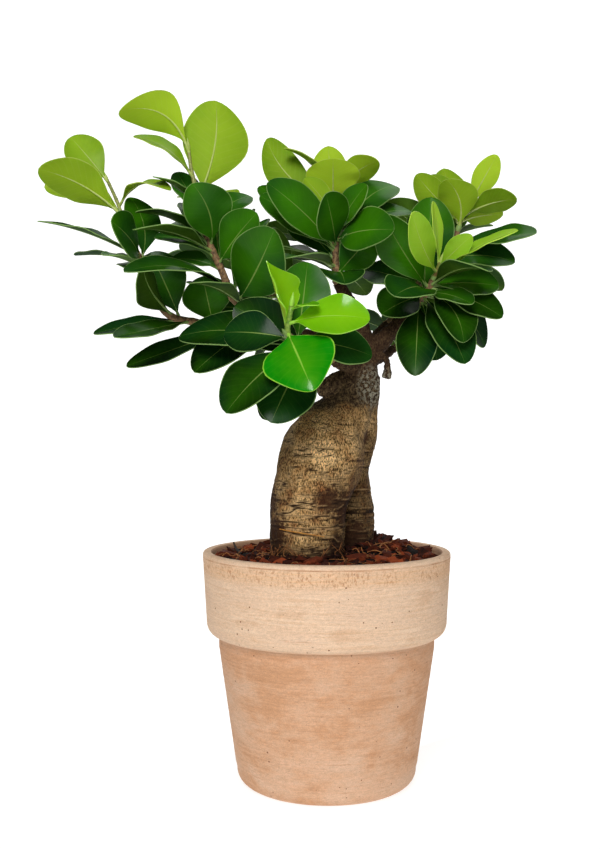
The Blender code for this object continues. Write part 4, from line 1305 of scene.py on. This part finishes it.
@dataclass
class Soil:
    """The potting mix: its lumpy top, its body down to the pot's floor and what lies on it."""

    pot: Pot
    top: float = 111.0
    mound: float = 5.5
    mound_place: Vec = (26.0, 16.0)
    mound_radius: float = 32.0
    lump: float = 1.3
    crumb: float = 0.9
    steps: int = 150
    rings: int = 44
    masters: int = 5
    chips: int = 620
    chip_least: float = 2.4
    chip_spread: float = 8.0
    foot_crumbs: int = 150
    strands: int = 80
    strand_step: float = 2.4
    root_hairs: int = 26
    roots: tuple[Vec, ...] = ((-9.6, -8.0, 18.0), (13.2, 15.0, 11.5))
    long_strand: tuple[Vec, ...] = ((-23.0, -21.4, 126.8, 0.25), (-17.0, -25.4, 126.0, 0.3),
                                    (-8.5, -27.4, 124.8, 0.3), (-1.3, -26.6, 123.6, 0.2))
    twig: tuple[Vec, ...] = ((-43.0, 7.0, 111.5, 0.8), (-45.6, 8.4, 113.8, 0.65),
                             (-47.0, 9.2, 117.2, 0.35))
    seed: int = 7

    def __post_init__(self) -> None:
        """Work out the soil's edge from the pot."""
        self.edge = self.pot.wall_inside(self.top) - TOUCH_GAP
        self.seeded = random.Random(self.seed)

    def level(self, x: float, y: float) -> float:
        """Work out the height of the soil, by the CAD's mound and lumps.

        Args:
            x: How far right the place is, in millimetres.
            y: How far back it is.

        Returns:
            The height, in millimetres.
        """
        away = (x - self.mound_place[0]) ** 2 + (y - self.mound_place[1]) ** 2
        rise = self.mound * clamped(1.0 - away / self.mound_radius ** 2)
        rise += self.lump * (sin(x * 0.31 + 1.0) * cos(y * 0.27) + 0.6 * sin(x * 0.7 - y * 0.55))
        fade = 1.0 - (x * x + y * y) / (self.edge * self.edge)
        return self.top + rise * clamped(fade * 2.5)

    def bed(self, finish: bpy.types.Material) -> bpy.types.Object:
        """Make the body of soil: a disc drawn in rings, then its wall down to the floor.

        Args:
            finish: The soil's material.

        Returns:
            The mesh object.
        """
        bed = disc(self.steps, self.edge, self.pot.floor_z + TOUCH_GAP)
        bpy.ops.mesh.extrude_region_move(
            TRANSFORM_OT_translate={"value": (0, 0, (self.top - self.pot.floor_z) * MM)})
        for _ in range(self.rings):
            bpy.ops.mesh.inset(thickness=self.edge / (self.rings + 1.0) * MM, depth=0.0)
        bpy.ops.mesh.poke()
        bpy.ops.object.mode_set(mode="OBJECT")
        foot = (self.pot.wall_inside(self.pot.floor_z) - 6.0) / self.edge
        for vertex in bed.data.vertices:
            x, y, z = vertex.co / MM
            if z < self.top - 1.0:
                vertex.co.x *= foot
                vertex.co.y *= foot
                continue
            crumbs = noise.noise(Vector((x, y, 0.0)) * 0.35) + 0.7 * noise.noise(
                Vector((x, y, 3.0)) * 0.9)
            inside = min(1.0, (self.edge - (x * x + y * y) ** 0.5) / 3.0)
            vertex.co.z = (self.level(x, y) + crumbs * self.crumb * inside) * MM
        bed.data.materials.append(finish)
        return bed

    def free_place(self, margin: float) -> Optional[tuple[float, float]]:
        """Draw a place on the soil, clear of the pot and of the roots.

        Args:
            margin: How far it stays from the pot, in millimetres.

        Returns:
            The place, or None if the draw falls on a root.
        """
        reach = (self.edge - margin) * self.seeded.random() ** 0.5
        turn = self.seeded.uniform(-pi, pi)
        x, y = reach * cos(turn), reach * sin(turn)
        for root_x, root_y, radius in self.roots:
            if (x - root_x) ** 2 + (y - root_y) ** 2 < (radius + 0.4 * margin) ** 2:
                return None
        return x, y

    def master_chip(self, number: int, finish: bpy.types.Material) -> bpy.types.Object:
        """Model one bark chip: a block, bevelled, subdivided and roughened.

        Args:
            number: Which of the chips it is; it seeds the roughness.
            finish: The chips' material.

        Returns:
            The chip, 1 mm long in each direction.
        """
        deselect()
        bpy.ops.mesh.primitive_cube_add(size=MM)
        chip = edit_all(bpy.context.object)
        bpy.ops.mesh.subdivide(number_cuts=1)
        bpy.ops.mesh.vertices_smooth(factor=0.35)
        bpy.ops.object.mode_set(mode="OBJECT")
        drawn = random.Random(number)
        for vertex in chip.data.vertices:
            vertex.co += Vector([drawn.uniform(-0.16, 0.16) for _ in range(3)]) * MM
        chip.data.materials.append(finish)
        return chip

    def lay_chip(self, master: bpy.types.Object, place: Vec, long: float,
                 tone: float) -> bpy.types.Object:
        """Lay a copy of a chip on the soil.

        Args:
            master: The chip, 1 mm long in each direction.
            place: Where it lies, and how far above the soil.
            long: Its length, in millimetres.
            tone: How light it is, from 0 to 1.

        Returns:
            The copy, with its own size and turn.
        """
        copy = copy_of(master)
        size = Vector((long, long * self.seeded.uniform(0.3, 0.7),
                       long * self.seeded.uniform(0.14, 0.38)))
        turn = Matrix.Rotation(self.seeded.uniform(-pi, pi), 3, "Z")
        lean = Matrix.Rotation(self.seeded.gauss(0.0, 0.45), 3, "X")
        pitch = Matrix.Rotation(self.seeded.gauss(0.0, 0.35), 3, "Y")
        turned = turn @ lean @ pitch
        x, y, lift = place
        centre = Vector((x, y, self.level(x, y) + lift + 0.25 * size.z)) * MM
        for vertex in copy.data.vertices:
            vertex.co = turned @ (vertex.co * size) + centre
        note(copy, "tone", [tone] * len(copy.data.vertices))
        return copy

    def scatter(self, finish: bpy.types.Material) -> bpy.types.Object:
        """Lay the chips on the soil, and bank darker crumbs against the roots' feet.

        Args:
            finish: The chips' material.

        Returns:
            The piece.
        """
        masters = [self.master_chip(number, finish) for number in range(self.masters)]
        laid = []
        while len(laid) < self.chips:
            long = self.chip_least + self.chip_spread * self.seeded.random() ** 2.4
            place = self.free_place(0.55 * long)
            if place is None:
                continue
            gap = min(((place[0] - x) ** 2 + (place[1] - y) ** 2) ** 0.5 - radius
                      for x, y, radius in self.roots)
            tone = self.seeded.random() * 0.6 * min(1.0, 0.1 + gap / 16.0)
            master = masters[len(laid) % self.masters]
            laid.append(self.lay_chip(master, (*place, 0.0), long, tone))
        for x, y, radius in self.roots:
            for _ in range(self.foot_crumbs):
                turn, reach = self.seeded.uniform(-pi, pi), radius + self.seeded.uniform(0.6, 3.4)
                lift = self.seeded.uniform(0.0, 2.6)
                place = (x + reach * cos(turn), y + reach * sin(turn), lift)
                master = masters[len(laid) % self.masters]
                laid.append(self.lay_chip(master, place, self.seeded.uniform(1.2, 3.0), 0.0))
        for master in masters:
            bpy.data.objects.remove(master, do_unlink=True)
        return joined("bark_chips", laid)

    def strand_route(self) -> Optional[list[Vec]]:
        """Draw one coir strand: a thin wandering line that lies on the soil.

        Returns:
            Its (x, y, z, radius) points, or None if it has no room.
        """
        place = self.free_place(6.0)
        if place is None:
            return None
        x, y = place
        heading = self.seeded.uniform(-pi, pi)
        radius = self.seeded.uniform(0.12, 0.27)
        route = []
        for step in range(self.seeded.randint(7, 14)):
            lift = radius + 0.5 + 1.6 * abs(sin(step * 0.9 + heading))
            route.append((x, y, self.level(x, y) + lift, radius))
            heading += self.seeded.gauss(0.0, 0.4)
            x += self.strand_step * cos(heading)
            y += self.strand_step * sin(heading)
            if (x * x + y * y) ** 0.5 > self.edge - 1.5:
                break
        return route if len(route) > 2 else None

    def root_hair(self) -> list[Vec]:
        """Draw one fine root, from the front root's foot down into the soil.

        Returns:
            Its (x, y, z, radius) points.
        """
        x, y, radius = self.roots[0]
        turn = self.seeded.uniform(-pi, 0.0)
        high, reach = self.seeded.uniform(3.0, 9.0), self.seeded.uniform(0.8, 3.0)
        route = []
        for step in range(4):
            share = step / 3.0
            out = radius + 0.2 + reach * share * share
            around = turn + 0.22 * sin(share * 3.0 + 2.0 * high)
            place = (x + out * cos(around), y + out * sin(around))
            route.append((*place, self.level(*place) + high * (1.0 - share) + 0.4, 0.12))
        return route

    def litter(self) -> bpy.types.Object:
        """Lay the coir, the long strand before the trunk, the black twig and the fine roots.

        Returns:
            The piece.
        """
        drawn = (self.strand_route() for _ in range(self.strands))
        routes = [(smooth_route(route, 2), 0) for route in drawn if route]
        routes += [(smooth_route(self.long_strand, 4), 2), (smooth_route(self.twig, 3), 1)]
        routes += [(smooth_route(self.root_hair(), 2), 0) for _ in range(self.root_hairs)]
        coir = TwigFinish("coir fibre", "#6A3B1C", "#B5763E", 0.8).build()
        black = TwigFinish("blackened twig", "#120D0A", "#3A2A20", 0.7).build()
        amber = TwigFinish("amber coir fibre", "#A8641E", "#D99A3E", 0.6).build()
        return rods("coir_and_twig", routes, 6, [coir, black, amber])

    def build(self) -> None:
        """Make the soil, and what lies on it."""
        loam = LoamFinish("potting mix", "#0D0704", "#23120A", "#4A2614").build()
        bark = LoamFinish("composted bark chips", "#140805", "#5A2411", "#A84E28").build()
        hand_in(joined("potting_mix", [self.bed(loam)]), "soil", "soil")
        hand_in(self.scatter(bark), "soil")
        hand_in(self.litter(), "soil")


@dataclass
class Trunk:
    """The grafted trunk: two swollen roots, the neck, the branches and the pruned stubs."""

    root_voxel: float = 1.1
    skin_voxel: float = 0.85
    sides: int = 24
    crease_count: int = 120
    crease_depth: float = 0.45
    lip_height: float = 0.25
    grain_height: float = 0.35
    # How far the bark must face left or right before it gets painted shade.
    side_shade_from: float = 0.48
    neck_z: float = 184.0
    join_z: float = 182.0
    soil_z: float = 111.0
    # Dark patches: the first eight are old scars; the last three paint the shade in the cleft between the
    # two roots.
    scars_and_cleft_shade: tuple[Vec, ...] = ((0.0, -25.0, 141.0, 11.0), (8.0, -15.0, 137.0, 14.0),
                              (-25.0, -17.0, 124.0, 13.0), (-28.0, -8.0, 137.0, 12.0),
                              (14.0, 3.0, 120.0, 12.0), (-20.0, 10.0, 150.0, 9.0),
                              (-27.0, -14.0, 113.0, 12.0), (6.0, -20.0, 118.0, 10.0),
                              (19.5, -6.0, 160.0, 9.0), (21.0, -5.0, 169.0, 7.0),
                              (12.0, -8.0, 141.0, 9.0))
    lichens: tuple[Vec, ...] = ((25.0, -8.0, 195.0, 13.0),)
    seed: int = 5

    def tubes(self, name: str, table: Sequence[Sequence[Vec]], steps: int,
              blank: bpy.types.Material) -> bpy.types.Object:
        """Make the closed tubes along the table's points."""
        return rods(name, [(smooth_route(points, steps), 0) for points in table], self.sides,
                    [blank])

    def skin(self, item: bpy.types.Object, voxel: float, rounds: int) -> None:
        """Draw one skin round all that an object holds, and calm it."""
        finish_with(item, "REMESH", mode="VOXEL", voxel_size=voxel * MM)
        finish_with(item, "SMOOTH", factor=0.5, iterations=rounds)

    def swell(self, item: bpy.types.Object) -> None:
        """Give the roots their low folds and lumps, by the CAD's formula.

        Args:
            item: The roots' mesh object.
        """
        normals = [normal.vector.copy() for normal in item.data.vertex_normals]
        for vertex, normal in zip(item.data.vertices, normals):
            x, y, z = vertex.co / MM
            folds = 0.5 * sin(x * 0.42 + z * 0.05) * sin(y * 0.38 - z * 0.06)
            lumps = 0.45 * sin(z * 0.21 + x * 0.12) * cos(y * 0.16)
            vertex.co += normal * (folds + lumps) * MM

    def creases(self) -> list[Vec]:
        """Draw the level creases.

        Returns:
            For each, its height, slant, facing angle, half span, depth and width.
        """
        drawn = random.Random(self.seed)
        low, high = self.soil_z + 6.0, self.neck_z - 4.0
        return [(low + (high - low) * drawn.random() ** 1.4, drawn.uniform(-2.5, 2.5),
                 drawn.uniform(-pi, pi), drawn.uniform(0.2, 0.8), drawn.uniform(0.25, 0.7),
                 drawn.uniform(0.45, 0.7)) for _ in range(self.crease_count)]

    def crease_at(self, point: Vector, creases: Sequence[Vec]) -> float:
        """Work out how deep in a crease a point is.

        Args:
            point: The point, in millimetres.
            creases: The creases.

        Returns:
            Up to 1 in a crease's bottom, below 0 on its raised lip and 0 elsewhere.
        """
        angle = atan2(point.y + 4.0, point.x + 3.0)
        deepest = lip = 0.0
        for level, slant, centre, span, depth, width in creases:
            off = (angle - centre + pi) % (2.0 * pi) - pi
            line = point.z - level - slant * sin(angle * 2.0)
            if abs(off) >= span or not -width - 2.0 < line < 3.0 * width + 2.0:
                continue
            wander = noise.noise(Vector((angle * 3.0, level, 0.0)))
            whole = 0.9 + 1.5 * noise.noise(Vector((angle * 5.0, level, 7.0)))
            line -= 1.8 * wander
            if not -width < line < 3.0 * width:
                continue
            edge = min(1.0, (span - abs(off)) * 4.0, max(0.0, whole)) * depth / 0.7
            if line < width:
                deepest = max(deepest, edge * (1.0 - abs(line) / width))
            else:
                lip = max(lip, edge * (1.0 - abs(line - 2.0 * width) / width))
        return deepest if deepest > 0.1 else deepest - lip

    def rear_root_shade_at(self, point: Vector) -> float:
        """Work out how much painted shade a point gets where it belongs to the root behind.

        Args:
            point: The point, in millimetres.

        Returns:
            The share, from 0 to 1.
        """
        front, back = ROOTS[0][3], ROOTS[1][3]
        away = [((point.x - x) ** 2 + (point.y - y) ** 2) ** 0.5 - radius
                for x, y, _, radius in (front, back)]
        low = clamped((self.join_z - point.z) / 14.0)
        return low * clamped(0.5 + (away[0] - away[1]) / 5.0)

    def side_shade_at(self, normal: Vector) -> float:
        """Return how much painted shade the bark gets where it faces left or right, from 0 to 1."""
        return clamped((abs(normal.x) - self.side_shade_from) / 0.45)

    def patch_at(self, point: Vector, patches: Sequence[Vec]) -> float:
        """Return how near a point is to the middle of the nearest (x, y, z, radius) patch."""
        return max(max(0.0, 1.0 - (point - Vector(patch[:3])).length / patch[3])
                   for patch in patches)

    def weather(self, item: bpy.types.Object) -> None:
        """Press the creases into the roots and roughen the neck; note the creases, the scars, the painted
        shade and the lichen for the paint.

        Args:
            item: The trunk's mesh object.
        """
        creases = self.creases()
        normals = [normal.vector.copy() for normal in item.data.vertex_normals]
        noted = {"crease": [], "scar_and_cleft_shade": [], "behind": [], "lichen": []}
        for vertex, normal in zip(item.data.vertices, normals):
            point = vertex.co / MM
            crease = self.crease_at(point, creases) if point.z < self.neck_z + 6.0 else 0.0
            push = -crease * (self.crease_depth if crease > 0.0 else self.lip_height)
            push += self.grain_height * noise.noise(Vector((point.x * 0.5, point.y * 0.5, point.z * 0.16)))
            rough = clamped((point.z - self.neck_z) / 10.0)
            push += rough * (0.45 * noise.noise(point * 0.55) + 0.4 * noise.noise(point * 1.1))
            vertex.co += normal * push * MM
            noted["crease"].append(crease)
            noted["scar_and_cleft_shade"].append(self.patch_at(point, self.scars_and_cleft_shade))
            # The behind attribute is painted shade: the root behind, and the bark facing left or right.
            noted["behind"].append(max(self.rear_root_shade_at(point), 0.8 * self.side_shade_at(normal)))
            noted["lichen"].append(self.patch_at(point, self.lichens))
        for name, values in noted.items():
            note(item, name, values)

    def build(self) -> None:
        """Make the trunk and dress it."""
        bark = BarkFinish().build(self.neck_z, self.soil_z)
        trunk = self.tubes("trunk", ROOTS, 6, bark)
        self.skin(trunk, self.root_voxel, 8)
        self.swell(trunk)
        table = [*BRANCHES.values(), *STUBS]
        branches = self.tubes("branches", table, 4, bark)
        trunk = joined("fig_trunk", [trunk, branches])
        self.skin(trunk, self.skin_voxel, 3)
        self.weather(trunk)
        trunk.data.materials.clear()
        trunk.data.materials.append(bark)
        hand_in(trunk, "bark", "trunk")


@dataclass
class Foliage:
    """The leafy stems: each a twig with its buds, stalks, midribs and blades."""

    wave: float = 0.55
    wave_turns: float = 2.3
    stalk_radius: float = 0.85
    rib_steps: int = 14
    rib_end: float = 0.9
    ring_swell: float = 1.14
    ring_spacing: int = 5
    bud_length: float = 6.5
    bud_shape: tuple[Vec, ...] = ((0.0, 0.9), (0.25, 1.1), (0.55, 0.8), (0.85, 0.35), (1.0, 0.08))
    # Painted shade low in the crown and painted light at its top: tones lighten from this height over this
    # rise.
    painted_shade_z: float = 205.0
    painted_light_rise: float = 85.0
    materials: dict = field(default_factory=dict)

    def __post_init__(self) -> None:
        """Make the finishes of every kind of leaf and twig, and the master blade."""
        for kind, finish in FINISHES.items():
            stalk = TwigFinish(f"{finish.name} stalk", finish.margin, finish.rib, 0.45)
            self.materials[kind] = (finish.build(False), finish.build(True), stalk.build(),
                                    TWIGS[kind].build())
        deselect()
        bpy.ops.mesh.primitive_grid_add(x_subdivisions=BLADE_ACROSS, y_subdivisions=BLADE_ALONG,
                                        size=2.0, calc_uvs=True)
        self.master = bpy.context.object

    def half_width(self, t: float, leaf: Leaf) -> float:
        """Return half the blade's width at a share of the blade: wedge foot, rounded end."""
        full = max(0.0, sin(pi * t ** 1.25)) ** (0.95 - 0.42 * t)
        return max(0.5 * leaf.width_at(t) * full, 0.35 * (1.0 - t) + 0.12)

    def tone_of(self, stem: Stem, index: int, lie: Lie, drawn: random.Random) -> float:
        """Choose a leaf's tone, from 0 to 1: by the table, or lighter towards the crown's top, which
        paints shade on the low leaves and light on the high ones.

        Args:
            stem: Its stem.
            index: Which of the stem's leaves it is.
            lie: How it lies.
            drawn: The stem's random numbers.

        Returns:
            How far along the colours of its finish it is.
        """
        table = TONES.get(stem.name, ())
        chance = 0.20 * drawn.random()
        if index < len(table):
            return table[index]
        tip = lie.base.z + lie.along.z * lie.length
        # Painted light and shade: the higher a leaf's tip, the lighter its tone.
        return chance + 0.5 * clamped((tip - self.painted_shade_z) / self.painted_light_rise)

    def blade(self, lie: Lie, tone: float, drawn: random.Random) -> bpy.types.Object:
        """Lay a copy of the master blade along a leaf.

        Args:
            lie: How the leaf lies.
            tone: How far along the colours of its finish it is, from 0 to 1.
            drawn: The stem's random numbers.

        Returns:
            The blade, an open sheet with its upper side's normals up.
        """
        leaf = copy_of(self.master)
        phase = drawn.uniform(-pi, pi)
        wave = self.wave * drawn.uniform(0.5, 1.3) * min(1.0, lie.leaf.width / 20.0)
        for vertex in leaf.data.vertices:
            across = -vertex.co.x
            t = 1.0 - max(0.0, 0.5 - 0.5 * vertex.co.y) ** TIP_CROWDING
            share = BLADE_START + (1.0 - BLADE_START) * t
            side_phase = phase if across > 0 else phase + 2.1
            lift = wave * sin(2 * pi * self.wave_turns * t + side_phase) * across * across * sin(
                pi * min(1.0, t * 1.1))
            vertex.co = lie.place(share, across, self.half_width(t, lie.leaf), lift) * MM
        for loop in leaf.data.uv_layers.active.data:
            loop.uv.y = 1.0 - max(0.0, 1.0 - loop.uv.y) ** TIP_CROWDING
        note(leaf, "tone", [tone] * len(leaf.data.vertices))
        return leaf

    def rib_route(self, lie: Lie) -> list[Vec]:
        """Draw the stalk and the raised midrib under the blade, thinning to the tip.

        Args:
            lie: How the leaf lies.

        Returns:
            Its (x, y, z, radius) points.
        """
        route = []
        for step in range(self.rib_steps + 1):
            share = self.rib_end * step / self.rib_steps
            thin = 1.0 - 0.3 * share if share < 0.12 else max(0.14, 0.78 - 0.75 * share)
            radius = self.stalk_radius * thin * min(1.0, 0.55 + lie.leaf.width / 45.0)
            lift = -max(0.0, 0.6 * radius * min(1.0, share / 0.15))
            route.append((*lie.place(share, 0.0, 1.0, lift), radius))
        return route

    def twig_route(self, route: Sequence[Vec]) -> list[Vec]:
        """Return the twig's centre line, with the rings that fallen leaves left."""
        return [(x, y, z, radius * (self.ring_swell if step % self.ring_spacing == 2 else 1.0))
                for step, (x, y, z, radius) in enumerate(smooth_route(route, 8))]

    def bud_route(self, route: Sequence[Vec]) -> list[Vec]:
        """Draw the pointed bud at the stem's end.

        Args:
            route: The stem's centre line.

        Returns:
            Its (x, y, z, radius) points.
        """
        foot, along = end_of(route)
        width = route[-1][3]
        return [(*(foot + along * (self.bud_length * share)), width * part)
                for share, part in self.bud_shape]

    def dress(self, stem: Stem, route: Sequence[Vec]) -> bpy.types.Object:
        """Make one leafy stem.

        Args:
            stem: The stem.
            route: Its centre line.

        Returns:
            The piece.
        """
        default = Kind.MATURE if stem.colour == "mature_leaf" else Kind.YOUNG
        kind = KINDS.get(stem.name, default)
        upper, under, rib, bark = self.materials[kind]
        drawn = random.Random(stem.name)
        lies = lies_in_frame(stem, route)
        sheet = joined(stem.name + "_blades",
                       [self.blade(lie, self.tone_of(stem, index, lie, drawn), drawn)
                        for index, lie in enumerate(lies)])
        for material in (upper, under, rib):
            sheet.data.materials.append(material)
        finish_with(sheet, "SOLIDIFY", thickness=BLADE_THICKNESS * MM, offset=0.0,
                    use_even_offset=False, material_offset=1, material_offset_rim=0)
        routes = [(self.rib_route(lie), 0) for lie in lies]
        routes += [(self.twig_route(route), 1), (self.bud_route(route), 0)]
        wood = rods(stem.name + "_wood", routes, 8, [rib, bark])
        LOG.info("%s has %d leaves", stem.name, len(lies))
        return joined(stem.name + "_foliage", [sheet, wood])

    def build(self) -> None:
        """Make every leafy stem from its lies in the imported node."""
        ends = {name: end_of(points) for name, points in BRANCHES.items()}
        for stem in STEMS:
            route = stem_route(stem, ends)
            ends[stem.name] = end_of(route)
            hand_in(self.dress(stem, route), stem.colour, stem.name)
        bpy.data.objects.remove(self.master, do_unlink=True)


@dataclass
class Studio:
    """A plain pale studio: a bowl-shaped backdrop, soft lamps and the photograph's camera."""

    floor_radius: float = 2400.0
    wall_height: float = 2200.0
    world_strength: float = 0.05
    glow_front: float = 0.08
    glow_near: float = 0.78
    glow_back: float = 1.0
    lamps: tuple[tuple, ...] = (("key", (-0.2, -1.45, 1.15), 21.8, 0.8),
                                ("fill", (0.9, -1.4, 0.6), 0.8, 1.3),
                                ("back", (0.3, 1.1, 1.5), 5.0, 1.0))

    def backdrop(self) -> None:
        """Make the floor and the wall that curves up round it, in one sweep."""
        bowl = disc(96, self.floor_radius, 0.0)
        bowl.name = "studio_floor"
        bpy.ops.mesh.extrude_region_move(
            TRANSFORM_OT_translate={"value": (0, 0, self.wall_height * MM)})
        bpy.ops.mesh.delete(type="ONLY_FACE")
        finish_with(bowl, "BEVEL", width=1.2, segments=14, limit_method="ANGLE")
        edit_all(bowl)
        bpy.ops.mesh.flip_normals()
        bpy.ops.object.mode_set(mode="OBJECT")
        bpy.ops.object.shade_smooth()
        paint = Paint("matte white paper")
        add, reach = paint.add, self.floor_radius * MM
        aim = add("VectorMath", [paint.place], operation="NORMALIZE")
        away = add("VectorMath", [paint.place], operation="LENGTH")
        back = add("SeparateXYZ", [aim], out="Y")
        rise = add("SeparateXYZ", [aim], out="Z")
        behind = add("MapRange", [back, 0.52, 0.76, self.glow_front, self.glow_back])
        near = add("MapRange", [away, 0.12 * reach, 0.5 * reach, self.glow_near, 0.0])
        low = add("MapRange", [rise, 0.62, 0.5])
        framed = add("Math", [behind, low], operation="MULTIPLY")
        bowl.data.materials.append(paint.finish({
            "Base Color": "#A9A9A7", "Roughness": 0.95, "Specular IOR Level": 0.1,
            "Emission Color": "#FFFFFF",
            "Emission Strength": add("Math", [framed, near], operation="MAXIMUM")}))
        bowl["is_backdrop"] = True

    def lamp(self, name: str, place: Vec, power: float, size: float) -> None:
        """Hang a soft square lamp that looks at the middle of the plant.

        Args:
            name: Its name.
            place: Where it hangs, in metres.
            power: Its power, in watts.
            size: Its width, in metres.
        """
        lamp = bpy.data.lights.new(name, "AREA")
        lamp.energy = power
        lamp.size = size
        item = added(name, lamp)
        item.location = place
        aim = Vector((0.0, 0.0, 0.2)) - Vector(place)
        item.rotation_euler = aim.to_track_quat("-Z", "Y").to_euler()

    def camera(self) -> None:
        """Set the camera where the photograph was taken from."""
        camera = bpy.data.cameras.new("photograph")
        camera.sensor_width = SENSOR
        camera.lens = FOCAL_PIXELS / max(PHOTO_SIZE) * SENSOR
        camera.shift_y = -(max(PHOTO_SIZE) / 2.0 - HORIZON_PIXEL) / max(PHOTO_SIZE)
        camera.clip_start = 0.01
        item = added("photograph", camera)
        item.location = (VIEW_ACROSS * MM, -VIEW_DISTANCE * MM, VIEW_HEIGHT * MM)
        item.rotation_euler = (pi / 2.0, 0.0, 0.0)
        bpy.context.scene.camera = item

    def build(self) -> None:
        """Make the camera, the lamps, the world and the backdrop."""
        self.camera()
        self.backdrop()
        for settings in self.lamps:
            self.lamp(*settings)
        world = bpy.data.worlds.new("studio")
        world.use_nodes = True
        background = world.node_tree.nodes["Background"]
        background.inputs["Color"].default_value = srgb("#FFFFFF")
        background.inputs["Strength"].default_value = self.world_strength
        bpy.context.scene.world = world
        bpy.context.scene.view_settings.view_transform = "Standard"


def write_sizes() -> None:
    """Work out the CAD's box and the visual model's box as plain lists, which are not kept."""
    boxes = {"cad": CAD_BOX, "visual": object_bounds()}
    plain = {name: [list(corner) for corner in box] for name, box in boxes.items()}


def main() -> None:
    """Dress the whole plant and set up its studio."""
    logging.basicConfig(level=logging.INFO, format="%(relativeCreated)7.0f ms %(message)s")
    Studio().build()
    pot = Pot()
    pot.build()
    Soil(pot).build()
    Trunk().build()
    Foliage().build()
    deselect()
    write_sizes()


if __name__ == "__main__":
    main()
